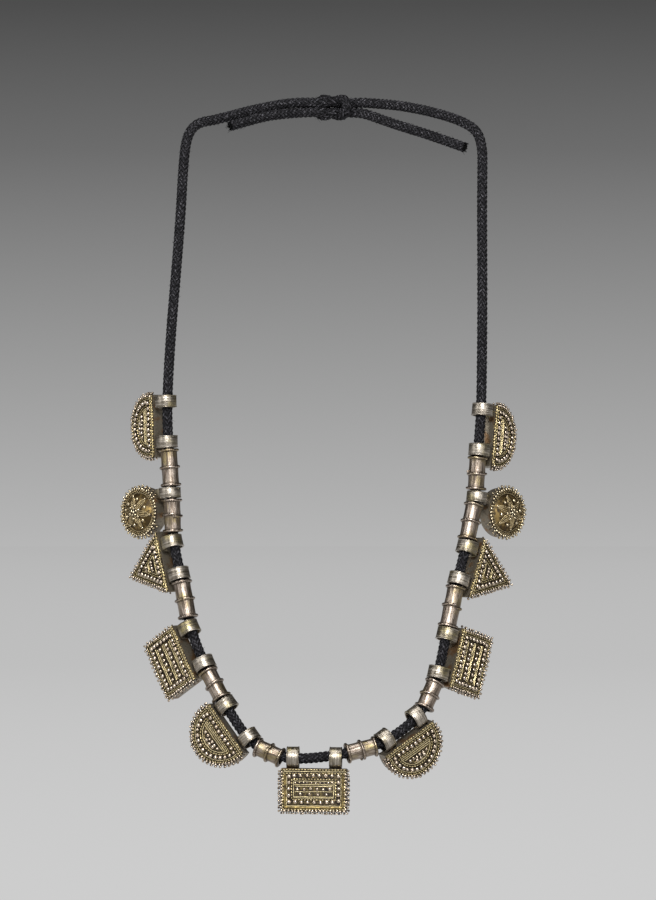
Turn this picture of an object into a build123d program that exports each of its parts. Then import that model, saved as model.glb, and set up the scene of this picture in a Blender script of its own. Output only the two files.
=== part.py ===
"""Amulet necklace: granulated metal amulet cases and spool beads strung on one knotted braided cord.

All lengths are in millimetres and all angles in degrees. +Z is up and -Y is the front.
The origin is on the front of the cord at the nape, where the necklace hangs on a neck.
"""
from build123d import *
import math
import os
from collections import namedtuple

os.makedirs("parts", exist_ok=True)

# Cord
CORD_DIAMETER = 5.4
FREE_ARC_SHARE = 0.45
STRUNG_ARC_SHARE = 0.30

# Band loops, soldered on the cord side of each case
LOOP_PLAY = 2.0
LOOP_WALL = 0.9
LOOP_WIDTH = 6.2
DISC_LOOP_WIDTH = 5.4
LOOP_SINK = 0.3
DISC_NECK_DEPTH = 5.0
DISC_NECK_REACH = 10.5
DISC_GAP = 0.5
SEAT_GAP = 0.85

# Case boxes
CASE_DEPTH = 8.0
BACK_ROUND = 1.5
TABLET_LENGTH = 33.4
TABLET_HEIGHT = 21.6
SIDE_TABLET_LENGTH = 30.8
SIDE_TABLET_HEIGHT = 22.6
TABLET_LOOP_SPACING = 21.4
SIDE_TABLET_LOOP_SPACING = 20.2
MOON_LENGTH = 31.2
MOON_HEIGHT = 20.4
MOON_LOOP_SPACING = 20.4
TRIANGLE_LENGTH = 32.6
TRIANGLE_HEIGHT = 27.4
TRIANGLE_LOOP_SPACING = 17.0
DISC_DIAMETER = 25.0

# Relief on the front plates
RIM_WIDTH = 1.7
RIM_RISE = 0.5
FRAME_WIDTH = 0.7
FRAME_RISE = 0.5
FRAME_INSET = 5.2
GRAIN_DIAMETER = 1.8
GRAIN_RISE = 0.9
GRAIN_TOP_DIAMETER = 0.9
GRAIN_SINK = 0.2
GRAIN_SIDES = 6
OUTER_ROW_INSET = 3.3
INNER_ROW_INSET = 7.1
DOME_DIAMETER = 16.6
DOME_RISE = 2.6
DOME_ROW_DIAMETER = 8.4
DOME_ROW_RISE = 1.3

# Fringe of spikes along the free edges
SPIKE_PITCH = 1.7
SPIKE_LENGTH = 1.0
SPIKE_ROOT_DIAMETER = 0.9
SPIKE_TIP_DIAMETER = 0.4
SPIKE_SINK = 0.3
SPIKE_SETBACK = 0.9
SPIKE_SIDES = 4

# Spool beads
SPOOL_PLAY = 0.75
SPOOL_WALL = 0.85
SPOOL_WAIST = 0.25
COLLAR_RISE = 1.0
COLLAR_WIDTH = 1.0
SPOOL_END_GAP = 0.35

# Knot and free ends
KNOT_LEG_REACH = 4.5
KNOT_BIGHT_REACH = 5.9
KNOT_WIDE_SPREAD = 4.6
KNOT_NARROW_SPREAD = 2.7
KNOT_LAYER_DEPTH = 1.9
KNOT_BIGHT_RADIUS = 3.8
KNOT_LEG_RADIUS = 14.0

# Route of the cord, front view from the knot down the left strand: x, y, z
LEFT_STRAND = [
    (-12.5, 1.1, 3.7),
    (-20.5, -2.0, 3.0),
    (-31.0, -9.0, 1.3),
    (-43.5, -18.0, -1.8),
    (-55.5, -26.4, -5.6),
    (-64.9, -31.8, -8.9),
    (-69.8, -35.0, -15.9),
    (-71.4, -38.5, -30.6),
    (-72.5, -42.5, -53.7),
    (-74.5, -46.8, -81.7),
    (-77.2, -50.8, -113.8),
]
# Each hard piece rides on the run between two of these points, or at one of them
STRUNG_POINTS = [
    (-79.3, -54.3, -150.3),
    (-78.7, -54.9, -172.1),
    (-76.9, -57.0, -197.2),
    (-76.0, -58.0, -221.7),
    (-72.3, -61.8, -238.5),
    (-67.3, -66.5, -265.4),
    (-60.2, -72.2, -283.4),
    (-49.4, -78.9, -303.7),
    (-36.6, -85.0, -323.0),
    (-18.5, -90.3, -330.9),
    (7.8, -91.7, -328.4),
    (29.5, -87.5, -323.1),
    (48.7, -79.4, -309.4),
    (57.8, -73.8, -288.6),
    (61.9, -70.9, -267.8),
    (67.7, -66.1, -240.4),
    (71.8, -62.3, -224.9),
    (76.9, -57.0, -199.4),
    (78.3, -55.3, -175.1),
    (79.9, -53.4, -155.6),
]
RIGHT_STRAND = [
    (80.4, -50.5, -119.9),
    (80.6, -46.8, -86.8),
    (80.5, -42.8, -56.2),
    (80.8, -38.8, -33.2),
    (80.9, -36.0, -21.8),
    (78.5, -33.5, -13.0),
    (71.0, -30.4, -8.0),
    (61.0, -24.0, -4.2),
    (50.0, -16.0, -1.0),
    (38.5, -6.5, 1.6),
    (28.5, 1.3, 2.9),
    (20.5, 4.9, 3.7),
]
KNOT_CENTRE = (4.5, 3.0, 1.0)
KNOT_HALF_LENGTH = 9.0
LEFT_TAIL = [
    (-11.5, 1.1, -1.7),
    (-19.5, -2.4, -3.3),
    (-31.5, -10.5, -5.7),
    (-47.5, -21.0, -10.8),
]
RIGHT_TAIL = [
    (20.5, 4.9, -1.7),
    (28.5, 1.0, -4.8),
    (40.0, -8.5, -9.3),
    (55.0, -18.5, -14.4),
    (72.0, -28.5, -21.1),
]

# Turn-out faces a case outwards from the loop of cord, lean turns it in its own plane, slide moves
# it along the cord, drop moves its box down past its loops, and the seat angle says where in the
# loops the cord lies: 0 on the side away from the case, 90 behind the loops' middle
Case = namedtuple("Case", "name kind first last turn_out lean slide drop seat")
CASES = [
    Case("half_moon_high_left", "half_moon", 0, 1, 55, 0.0, 0.0, 2.1, 0),
    Case("disc_left", "disc", 2, 2, 43, 0.0, 0.0, 8.4, 0),
    Case("triangle_left", "triangle", 3, 4, 48, 0.0, 0.0, 0.0, 0),
    Case("tablet_left", "side_tablet", 5, 6, 39, 3.0, 0.0, 0.0, 0),
    Case("half_moon_low_left", "half_moon", 7, 8, 17, 2.0, -1.2, 0.0, 180),
    Case("tablet_centre", "tablet", 9, 10, 0, -6.0, 0.8, 0.0, 90),
    Case("half_moon_low_right", "half_moon", 11, 12, 22, 0.0, 0.0, 0.0, 180),
    Case("tablet_right", "side_tablet", 13, 14, 44, -3.0, 0.0, 0.0, 0),
    Case("triangle_right", "triangle", 15, 16, 43, 0.0, 0.0, 0.0, 0),
    Case("disc_right", "disc", 17, 17, 43, 0.0, 0.0, 4.6, 0),
    Case("half_moon_high_right", "half_moon", 18, 19, 55, 0.0, 0.0, 2.1, 0),
]

# Grains in each row of a front plate
Grains = namedtuple("Grains", "outer inner")
GRAIN_ROWS = {
    "tablet": Grains(24, 10),
    "side_tablet": Grains(24, 10),
    "half_moon": Grains(21, 8),
    "triangle": Grains(18, 3),
    "disc": Grains(0, 6),
}

FRONT = Vector(0, -1, 0)
CORD_RADIUS = CORD_DIAMETER / 2
LOOP_BORE_RADIUS = CORD_RADIUS + LOOP_PLAY
LOOP_RADIUS = LOOP_BORE_RADIUS + LOOP_WALL
SPOOL_BORE_RADIUS = CORD_RADIUS + SPOOL_PLAY
SPOOL_RADIUS = SPOOL_BORE_RADIUS + SPOOL_WALL
COLLAR_RADIUS = SPOOL_RADIUS + COLLAR_RISE
PLATE_LEVEL = CASE_DEPTH / 2
LOOP_SPACING = {
    "tablet": TABLET_LOOP_SPACING,
    "side_tablet": SIDE_TABLET_LOOP_SPACING,
    "half_moon": MOON_LOOP_SPACING,
    "triangle": TRIANGLE_LOOP_SPACING,
    "disc": 0.0,
}


def loop_width(kind):
    return DISC_LOOP_WIDTH if kind == "disc" else LOOP_WIDTH


def case_frame(case):
    """The case's own frame: x along the cord, z out of the front plate, origin on the loops' axis."""
    start = Vector(*STRUNG_POINTS[case.first])
    end = Vector(*STRUNG_POINTS[case.last])
    if case.first == case.last:
        before = Vector(*STRUNG_POINTS[case.first - 1])
        after = Vector(*STRUNG_POINTS[case.first + 1])
        along = ((start - before).normalized() + (after - start).normalized()).normalized()
    else:
        along = (end - start).normalized()
    facing = (FRONT - along * FRONT.dot(along)).normalized()
    plate_normal = facing.rotate(Axis((0, 0, 0), along), case.turn_out)
    on_cord = Location(Plane((start + end) * 0.5, x_dir=along, z_dir=plate_normal))
    half_length = (LOOP_SPACING[case.kind] + loop_width(case.kind)) / 2
    lean_travel = half_length * math.sin(math.radians(abs(case.lean)))
    offset = max(LOOP_PLAY - SEAT_GAP - lean_travel, 0)
    angle = math.radians(case.seat)
    seat = Location((case.slide, -offset * math.cos(angle), offset * math.sin(angle)))
    return on_cord * seat * Location((0, 0, 0), (0, 0, case.lean))


def tablet_outline(length=TABLET_LENGTH, height=TABLET_HEIGHT):
    wall = LOOP_RADIUS - LOOP_SINK
    return Pos(0, -wall - height / 2) * Rectangle(length, height)


def side_tablet_outline():
    return tablet_outline(SIDE_TABLET_LENGTH, SIDE_TABLET_HEIGHT)


def half_moon_outline():
    wall = LOOP_RADIUS - LOOP_SINK
    half = MOON_LENGTH / 2
    arc = ThreePointArc((half, -wall), (0, -wall - MOON_HEIGHT), (-half, -wall))
    return make_face(arc + Line((-half, -wall), (half, -wall)))


def triangle_outline():
    wall = LOOP_RADIUS - LOOP_SINK
    half = TRIANGLE_LENGTH / 2
    apex = (0, -wall - TRIANGLE_HEIGHT)
    return make_face(Polyline((-half, -wall), (half, -wall), apex, close=True))


def disc_centre():
    """The disc hangs beside the next spool bead, so its rim stays clear of the bead's collars."""
    return -COLLAR_RADIUS - DISC_GAP - DISC_DIAMETER / 2


def disc_neck():
    """The short block that joins a disc's one loop to its rim."""
    start = LOOP_RADIUS - LOOP_SINK
    length = DISC_NECK_REACH - start
    return Pos(0, -start - length / 2, 0) * Box(DISC_LOOP_WIDTH, length, DISC_NECK_DEPTH)


def disc_outline():
    return Pos(0, disc_centre()) * Circle(DISC_DIAMETER / 2)


OUTLINES = {
    "tablet": tablet_outline,
    "side_tablet": side_tablet_outline,
    "half_moon": half_moon_outline,
    "triangle": triangle_outline,
    "disc": disc_outline,
}


def inset(outline, distance):
    return offset(outline, amount=-distance, kind=Kind.INTERSECTION)


def ridge(outline, distance, width, rise):
    """A raised band that follows the outline at a distance inside it."""
    outer = inset(outline, distance) if distance > 0 else outline
    band = outer - inset(outline, distance + width)
    return extrude(Pos(0, 0, PLATE_LEVEL - GRAIN_SINK) * band, amount=rise + GRAIN_SINK)


def box_with_rounded_back(outline):
    box = extrude(Pos(0, 0, -PLATE_LEVEL) * outline, amount=CASE_DEPTH)
    back_edges = box.edges().group_by(Axis.Z)[0]
    return fillet(back_edges, BACK_ROUND)


def grain():
    """One soldered grain, a small faceted dome that stands on the plate."""
    rise = GRAIN_RISE + GRAIN_SINK
    slope = math.degrees(math.atan((GRAIN_DIAMETER - GRAIN_TOP_DIAMETER) / 2 / rise))
    foot = RegularPolygon(GRAIN_DIAMETER / 2, GRAIN_SIDES)
    return extrude(foot, amount=rise, taper=slope)


def spike():
    """One short fringe spike along +Z, its root sunk in the wall."""
    length = SPIKE_LENGTH + SPIKE_SINK
    slope = math.degrees(math.atan((SPIKE_ROOT_DIAMETER - SPIKE_TIP_DIAMETER) / 2 / length))
    foot = RegularPolygon(SPIKE_ROOT_DIAMETER / 2, SPIKE_SIDES)
    return Pos(0, 0, -SPIKE_SINK) * extrude(foot, amount=length, taper=slope)


def grain_row(outline, distance, count, level=PLATE_LEVEL):
    """Grains evenly spaced along the outline drawn at a distance inside it."""
    wire = inset(outline, distance).wires()[0]
    spots = [wire.position_at((index + 0.5) / count) for index in range(count)]
    return [Pos(spot.X, spot.Y, level - GRAIN_SINK) * grain() for spot in spots]


def fringe(outline, cord_side):
    """Spikes that point outwards from every edge but the one the loops are on."""
    wire = outline.wires()[0]
    middle = outline.center()
    count = int(wire.length / SPIKE_PITCH)
    spikes = []
    for index in range(count):
        at = (index + 0.5) / count
        spot = wire.position_at(at)
        tangent = wire.tangent_at(at)
        outwards = Vector(tangent.Y, -tangent.X, 0)
        if outwards.dot(spot - middle) < 0:
            outwards = outwards * -1
        if spot.Y > cord_side:
            continue
        root = Vector(spot.X, spot.Y, PLATE_LEVEL - SPIKE_SETBACK)
        spikes.append(Location(Plane(root, z_dir=outwards)) * spike())
    return spikes


def band_loops(kind):
    width = loop_width(kind)
    half_spacing = LOOP_SPACING[kind] / 2
    ring = Circle(LOOP_RADIUS) - Circle(LOOP_BORE_RADIUS)
    band = Rot(0, 90, 0) * extrude(ring, amount=width / 2, both=True)
    if kind == "disc":
        return [band]
    return [Pos(-half_spacing, 0, 0) * band, Pos(half_spacing, 0, 0) * band]


def disc_dome():
    """The raised dome in the middle of a disc, with its ring of grains."""
    middle = Pos(0, disc_centre(), PLATE_LEVEL)
    half = DOME_DIAMETER / 2
    radius = (half ** 2 + DOME_RISE ** 2) / (2 * DOME_RISE)
    ball = Pos(0, 0, DOME_RISE - radius) * Sphere(radius)
    skirt = Pos(0, 0, DOME_RISE / 2 - GRAIN_SINK) * Cylinder(half, DOME_RISE + GRAIN_SINK)
    count = GRAIN_ROWS["disc"].inner
    row_radius = DOME_ROW_DIAMETER / 2
    pieces = [middle * (ball & skirt)]
    pieces.append(middle * Pos(0, 0, DOME_RISE - GRAIN_SINK) * grain())
    for spot in PolarLocations(row_radius, count):
        pieces.append(middle * spot * Pos(0, 0, DOME_ROW_RISE) * grain())
    return pieces


def amulet_case(case):
    outline = OUTLINES[case.kind]()
    rows = GRAIN_ROWS[case.kind]
    pieces = [box_with_rounded_back(outline), ridge(outline, 0, RIM_WIDTH, RIM_RISE)]
    if case.kind == "disc":
        pieces += disc_dome()
        cord_side = -COLLAR_RADIUS - SPIKE_LENGTH - DISC_GAP
    else:
        pieces.append(ridge(outline, FRAME_INSET, FRAME_WIDTH, FRAME_RISE))
        pieces += grain_row(outline, OUTER_ROW_INSET, rows.outer)
        pieces += grain_row(outline, INNER_ROW_INSET, rows.inner)
        cord_side = -LOOP_RADIUS - SPIKE_PITCH / 2
    pieces += fringe(outline, cord_side)
    downwards = 1 if case.first < len(STRUNG_POINTS) / 2 else -1
    dropped = [Pos(downwards * case.drop, 0, 0) * piece for piece in pieces]
    fittings = band_loops(case.kind)
    if case.kind == "disc":
        fittings.append(disc_neck())
    return case_frame(case) * fittings[0].fuse(*fittings[1:], *dropped)


def loop_face(case, side):
    """Middle of the outer face of a case's first (-1) or last (+1) loop, and the way it faces."""
    frame = Plane(case_frame(case))
    reach = (LOOP_SPACING[case.kind] + loop_width(case.kind)) / 2
    facing = frame.x_dir * side
    return frame.origin + facing * reach, facing


def spool_span(first, case_before, case_after):
    """Where a spool starts and ends on its run, its collars clear of the tilted loops beside it."""
    start = Vector(*STRUNG_POINTS[first])
    end = Vector(*STRUNG_POINTS[first + 1])
    along = (end - start).normalized()
    ends = []
    for case, side in ((case_before, 1), (case_after, -1)):
        face, facing = loop_face(case, side)
        tilt = math.radians(facing.get_angle(along * side))
        room = SPOOL_END_GAP + COLLAR_RADIUS * math.sin(tilt)
        ends.append((room + (face - start).dot(facing)) / along.dot(facing))
    return start, along, ends[0], ends[1]


def spool_bead(first, case_before, case_after):
    """A tube with a collar at each end and in the middle, its waist drawn in a little."""
    start, along, low, high = spool_span(first, case_before, case_after)
    half = (high - low) / 2
    bore = SPOOL_BORE_RADIUS
    tube = SPOOL_RADIUS
    collar = COLLAR_RADIUS
    waist = SPOOL_RADIUS - SPOOL_WAIST
    mid_collar = COLLAR_WIDTH / 2
    collar_start = half - COLLAR_WIDTH
    waist_at = (mid_collar + collar_start) / 2
    outline = [
        Line((bore, -half), (collar, -half)),
        Line((collar, -half), (collar, -collar_start)),
        Line((collar, -collar_start), (tube, -collar_start)),
        ThreePointArc((tube, -collar_start), (waist, -waist_at), (tube, -mid_collar)),
        Line((tube, -mid_collar), (collar, -mid_collar)),
        Line((collar, -mid_collar), (collar, mid_collar)),
        Line((collar, mid_collar), (tube, mid_collar)),
        ThreePointArc((tube, mid_collar), (waist, waist_at), (tube, collar_start)),
        Line((tube, collar_start), (collar, collar_start)),
        Line((collar, collar_start), (collar, half)),
        Line((collar, half), (bore, half)),
        Line((bore, half), (bore, -half)),
    ]
    bead = revolve(Plane.XZ * make_face(outline), Axis.Z)
    middle = start + along * ((low + high) / 2)
    return Location(Plane(middle, z_dir=along)) * bead


def knot_end(side, row):
    """Where a leg leaves the knot: side -1 is left and +1 right, row +1 is upper and -1 lower."""
    x, y, z = KNOT_CENTRE
    return Vector(x + side * KNOT_HALF_LENGTH, y + side * KNOT_LAYER_DEPTH, z + row * KNOT_NARROW_SPREAD)


def arc_radii(points, shares):
    """The radius at each corner of a route: a share of its shorter run, taken up by the turn."""
    radii = []
    for before, corner, after, share in zip(points, points[1:], points[2:], shares):
        arriving = corner - before
        leaving = after - corner
        turn = math.radians(arriving.get_angle(leaving))
        shorter = min(arriving.length, leaving.length)
        radii.append(share * shorter / math.tan(turn / 2))
    return radii


def tube(points, radii, diameter):
    """A round tube of straight runs joined by tangent arcs."""
    path = FilletPolyline(*points, radius=radii)
    section = Plane(points[0], z_dir=path % 0) * Circle(diameter / 2)
    return sweep(section, path=path)


def report_tube(name, solid, points, radii, diameter):
    path = FilletPolyline(*points, radius=radii)
    expected = math.pi * diameter ** 2 / 4 * path.length
    print(name, "length", round(path.length, 1), "volume", round(solid.volume), "of", round(expected))
    print(name, "radii", [round(radius, 1) for radius in radii])


def cord_loop():
    strung = [Vector(*point) for point in STRUNG_POINTS]
    left = [Vector(*point) for point in LEFT_STRAND]
    right = [Vector(*point) for point in RIGHT_STRAND]
    points = [knot_end(-1, 1)] + left + strung + right + [knot_end(1, 1)]
    shares = [FREE_ARC_SHARE] * len(left) + [STRUNG_ARC_SHARE] * len(strung) + [FREE_ARC_SHARE] * len(right)
    radii = arc_radii(points, shares)
    solid = tube(points, radii, CORD_DIAMETER)
    report_tube("cord_loop", solid, points, radii, CORD_DIAMETER)
    return solid


def cord_end(name, side, tail):
    points = [knot_end(side, -1)] + [Vector(*point) for point in tail]
    radii = arc_radii(points, [FREE_ARC_SHARE] * len(tail))
    solid = tube(points, radii, CORD_DIAMETER)
    report_tube(name, solid, points, radii, CORD_DIAMETER)
    return solid


def bight(side):
    """One of the knot's two bights: two legs that leave on one side, joined round the other side."""
    x, y, z = KNOT_CENTRE
    layer = y + side * KNOT_LAYER_DEPTH
    points = [
        knot_end(side, 1),
        Vector(x + side * KNOT_LEG_REACH, layer, z + KNOT_NARROW_SPREAD),
        Vector(x - side * KNOT_BIGHT_REACH, layer, z + KNOT_WIDE_SPREAD),
        Vector(x - side * KNOT_BIGHT_REACH, layer, z - KNOT_WIDE_SPREAD),
        Vector(x + side * KNOT_LEG_REACH, layer, z - KNOT_NARROW_SPREAD),
        knot_end(side, -1),
    ]
    radii = [KNOT_LEG_RADIUS, KNOT_BIGHT_RADIUS, KNOT_BIGHT_RADIUS, KNOT_LEG_RADIUS]
    return tube(points, radii, CORD_DIAMETER)


def knot():
    """A reef knot drawn tight: the left bight lies in front of the right one."""
    return bight(-1) + bight(1)


def spool_name(index):
    half = len(CASES) // 2
    if index < half:
        return f"spool_left_{index + 1}"
    return f"spool_right_{len(CASES) - 1 - index}"


nodes = {case.name: amulet_case(case) for case in CASES}
for index, (before, after) in enumerate(zip(CASES, CASES[1:])):
    nodes[spool_name(index)] = spool_bead(before.last, before, after)
nodes["cord_loop"] = cord_loop()
nodes["knot"] = knot()
nodes["cord_end_left"] = cord_end("cord_end_left", -1, LEFT_TAIL)
nodes["cord_end_right"] = cord_end("cord_end_right", 1, RIGHT_TAIL)

for name, solid in nodes.items():
    export_step(solid, f"parts/{name}.step")
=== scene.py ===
"""Amulet necklace: the dressed model, its studio and its camera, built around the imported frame.

Small metalwork is modelled in millimetres round its own axis, and is placed in the shared frame,
in metres, when it is joined.
"""
from __future__ import annotations

import logging
import math
import random
from dataclasses import dataclass, field
from enum import Enum
from typing import Callable, Iterable, Sequence

import bpy
import numpy as np
from bpy.types import Material, Object
from mathutils import Matrix, Vector, noise

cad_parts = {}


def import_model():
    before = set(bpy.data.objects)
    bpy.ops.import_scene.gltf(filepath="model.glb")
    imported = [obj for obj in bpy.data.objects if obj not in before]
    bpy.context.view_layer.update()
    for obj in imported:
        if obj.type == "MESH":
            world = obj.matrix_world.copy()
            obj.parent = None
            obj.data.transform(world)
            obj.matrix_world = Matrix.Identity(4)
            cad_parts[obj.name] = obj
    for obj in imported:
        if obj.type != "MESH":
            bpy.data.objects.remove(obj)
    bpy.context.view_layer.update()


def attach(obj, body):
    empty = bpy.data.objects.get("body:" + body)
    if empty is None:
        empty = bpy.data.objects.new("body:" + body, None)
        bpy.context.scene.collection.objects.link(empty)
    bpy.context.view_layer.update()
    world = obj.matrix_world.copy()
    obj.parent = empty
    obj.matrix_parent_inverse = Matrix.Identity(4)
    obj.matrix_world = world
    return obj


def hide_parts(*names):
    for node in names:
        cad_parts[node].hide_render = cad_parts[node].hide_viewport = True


LOG = logging.getLogger("amulet_necklace")
MM = 0.001
SEED = 41
# Points that differ by less than this, in millimetres, lie on one level
CLOSE = 0.001
# Each piece reads its pattern this much further on than the one before, in millimetres
CASE_PATTERN_STEP = 60.0
SPOOL_PATTERN_STEP = 50.0
BUNDLE_PATTERN_STEP = 3.0

# Route of the cord in metres, from the knot down the left strand, as the solids have it
LEFT_STRAND = [
    (-0.0125, 0.0013, 0.0035),
    (-0.0205, -0.0012, 0.0026),
    (-0.0310, -0.0088, 0.0002),
    (-0.0435, -0.0180, -0.0033),
    (-0.0555, -0.0264, -0.0071),
    (-0.0649, -0.0318, -0.0089),
    (-0.0698, -0.0350, -0.0159),
    (-0.0714, -0.0385, -0.0306),
    (-0.0725, -0.0425, -0.0537),
    (-0.0745, -0.0468, -0.0817),
    (-0.0772, -0.0508, -0.1138),
]
STRUNG_POINTS = [
    (-0.0793, -0.0543, -0.1503),
    (-0.0787, -0.0549, -0.1721),
    (-0.0769, -0.0570, -0.1972),
    (-0.0760, -0.0580, -0.2217),
    (-0.0723, -0.0618, -0.2385),
    (-0.0673, -0.0665, -0.2654),
    (-0.0602, -0.0722, -0.2834),
    (-0.0494, -0.0789, -0.3037),
    (-0.0366, -0.0850, -0.3230),
    (-0.0185, -0.0903, -0.3309),
    (0.0078, -0.0917, -0.3284),
    (0.0295, -0.0875, -0.3231),
    (0.0487, -0.0794, -0.3094),
    (0.0578, -0.0738, -0.2886),
    (0.0619, -0.0709, -0.2678),
    (0.0677, -0.0661, -0.2404),
    (0.0718, -0.0623, -0.2249),
    (0.0769, -0.0570, -0.1994),
    (0.0783, -0.0553, -0.1751),
    (0.0799, -0.0534, -0.1556),
]
RIGHT_STRAND = [
    (0.0804, -0.0505, -0.1199),
    (0.0806, -0.0468, -0.0868),
    (0.0805, -0.0428, -0.0562),
    (0.0808, -0.0388, -0.0332),
    (0.0809, -0.0360, -0.0218),
    (0.0785, -0.0335, -0.0130),
    (0.0710, -0.0304, -0.0080),
    (0.0610, -0.0240, -0.0042),
    (0.0500, -0.0160, -0.0010),
    (0.0385, -0.0065, 0.0016),
    (0.0285, 0.0013, 0.0029),
    (0.0205, 0.0049, 0.0037),
]
LEFT_TAIL = [
    (-0.0115, 0.0007, -0.0017),
    (-0.0195, -0.0034, -0.0026),
    (-0.0315, -0.0122, -0.0045),
    (-0.0475, -0.0232, -0.0100),
]
RIGHT_TAIL = [
    (0.0205, 0.0049, -0.0017),
    (0.0285, 0.0010, -0.0048),
    (0.0400, -0.0085, -0.0093),
    (0.0550, -0.0185, -0.0144),
    (0.0720, -0.0285, -0.0211),
]
# The weave of the reef knot, from where the right tail comes in to where the right strand leaves,
# and from where the left strand comes in to where the left tail leaves
RIGHT_BIGHT = [
    (0.0135, 0.0052, -0.0014),
    (0.0104, 0.0064, -0.0013),
    (0.0070, 0.0040, -0.0014),
    (0.0045, -0.0004, -0.0018),
    (0.0012, 0.0016, -0.0032),
    (-0.0018, 0.0060, -0.0030),
    (-0.0034, 0.0068, 0.0010),
    (-0.0018, 0.0060, 0.0050),
    (0.0012, 0.0016, 0.0052),
    (0.0045, -0.0004, 0.0038),
    (0.0070, 0.0040, 0.0034),
    (0.0104, 0.0064, 0.0033),
    (0.0135, 0.0052, 0.0034),
]
LEFT_BIGHT = [
    (-0.0045, 0.0008, 0.0034),
    (-0.0014, -0.0006, 0.0033),
    (0.0020, 0.0022, 0.0034),
    (0.0045, 0.0064, 0.0038),
    (0.0078, 0.0044, 0.0052),
    (0.0108, 0.0000, 0.0050),
    (0.0124, -0.0008, 0.0010),
    (0.0108, 0.0000, -0.0030),
    (0.0078, 0.0044, -0.0032),
    (0.0045, 0.0064, -0.0018),
    (0.0020, 0.0022, -0.0014),
    (-0.0014, -0.0006, -0.0013),
    (-0.0045, 0.0008, -0.0014),
]


class CaseKind(Enum):
    """The shapes of amulet case on the necklace."""

    TABLET = "tablet"
    SIDE_TABLET = "side_tablet"
    HALF_MOON = "half_moon"
    TRIANGLE = "triangle"
    DISC = "disc"


class Finish(Enum):
    """The surfaces of the necklace."""

    GILT = 0
    GRAIN = 1
    BAND = 2
    WALL = 3
    THREAD = 4


Looks = dict[Finish, Material]


@dataclass(frozen=True)
class CaseSeat:
    """Where one case rides on the cord, in degrees and millimetres.

    First and last are the strung points in its loops. Turn-out faces it outwards, lean turns it in
    its own plane, slide moves it along the cord, drop moves its box down past its loops, and seat
    is the side of the loops that the cord lies at.
    """

    name: str
    kind: CaseKind
    first: int
    last: int
    turn_out: float
    lean: float = 0.0
    slide: float = 0.0
    drop: float = 0.0
    seat: float = 0.0


SEATS = [
    CaseSeat("half_moon_high_left", CaseKind.HALF_MOON, 0, 1, 55, drop=2.1),
    CaseSeat("disc_left", CaseKind.DISC, 2, 2, 43, drop=8.4),
    CaseSeat("triangle_left", CaseKind.TRIANGLE, 3, 4, 48),
    CaseSeat("tablet_left", CaseKind.SIDE_TABLET, 5, 6, 39, lean=3.0),
    CaseSeat("half_moon_low_left", CaseKind.HALF_MOON, 7, 8, 17, lean=2.0, slide=-1.2, seat=180),
    CaseSeat("tablet_centre", CaseKind.TABLET, 9, 10, 0, lean=-6.0, slide=0.8, seat=90),
    CaseSeat("half_moon_low_right", CaseKind.HALF_MOON, 11, 12, 22, seat=180),
    CaseSeat("tablet_right", CaseKind.SIDE_TABLET, 13, 14, 44, lean=-3.0),
    CaseSeat("triangle_right", CaseKind.TRIANGLE, 15, 16, 43),
    CaseSeat("disc_right", CaseKind.DISC, 17, 17, 43, drop=4.6),
    CaseSeat("half_moon_high_right", CaseKind.HALF_MOON, 18, 19, 55, drop=2.1),
]


@dataclass(frozen=True)
class Sizes:
    """The sizes that the pieces share with the solids, in millimetres."""

    cord_radius: float = 2.7
    loop_play: float = 2.0
    loop_wall: float = 0.9
    loop_width: float = 6.2
    disc_loop_width: float = 5.4
    loop_sink: float = 0.3
    seat_gap: float = 0.85
    case_depth: float = 8.0
    spool_play: float = 0.75
    spool_wall: float = 0.85
    collar_rise: float = 1.0
    spool_end_gap: float = 0.35
    disc_gap: float = 0.5

    @property
    def loop_radius(self) -> float:
        """Outer radius of a band loop."""
        return self.cord_radius + self.loop_play + self.loop_wall

    @property
    def cord_wall(self) -> float:
        """Distance from the loops' axis to the case's wall."""
        return self.loop_radius - self.loop_sink

    @property
    def spool_radius(self) -> float:
        """Outer radius of a spool bead's tube."""
        return self.cord_radius + self.spool_play + self.spool_wall

    @property
    def collar_radius(self) -> float:
        """Outer radius of a spool bead's collars."""
        return self.spool_radius + self.collar_rise

    @property
    def plate(self) -> float:
        """Height of a case's front plate over the loops' axis."""
        return self.case_depth / 2


SIZES = Sizes()
LOOP_SPACING = {
    CaseKind.TABLET: 21.4,
    CaseKind.SIDE_TABLET: 20.2,
    CaseKind.HALF_MOON: 20.4,
    CaseKind.TRIANGLE: 17.0,
    CaseKind.DISC: 0.0,
}


def deselect_all() -> None:
    """Leaves object mode with nothing selected."""
    if bpy.context.object is not None and bpy.context.object.mode != "OBJECT":
        object_mode()
    bpy.ops.object.select_all(action="DESELECT")


def object_mode() -> None:
    """Goes back to object mode."""
    bpy.ops.object.mode_set(mode="OBJECT")


def linked(name: str, data: bpy.types.ID) -> Object:
    """Makes an object of some data and puts it in the scene."""
    obj = bpy.data.objects.new(name, data)
    bpy.context.scene.collection.objects.link(obj)
    return obj


def make_active(obj: Object) -> None:
    """Selects one object alone and makes it active."""
    deselect_all()
    obj.select_set(True)
    bpy.context.view_layer.objects.active = obj


def edit_all() -> None:
    """Goes into edit mode with all of the active object selected."""
    bpy.ops.object.mode_set(mode="EDIT")
    bpy.ops.mesh.select_all(action="SELECT")


def extrude(height: float) -> None:
    """Extrudes what is selected along z."""
    bpy.ops.mesh.extrude_region_move(TRANSFORM_OT_translate={"value": (0.0, 0.0, height)})


def vertex_table(mesh: bpy.types.Mesh) -> np.ndarray:
    """Reads a mesh's points as the rows of a table."""
    table = np.empty(len(mesh.vertices) * 3)
    mesh.vertices.foreach_get("co", table)
    return table.reshape(-1, 3)


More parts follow.
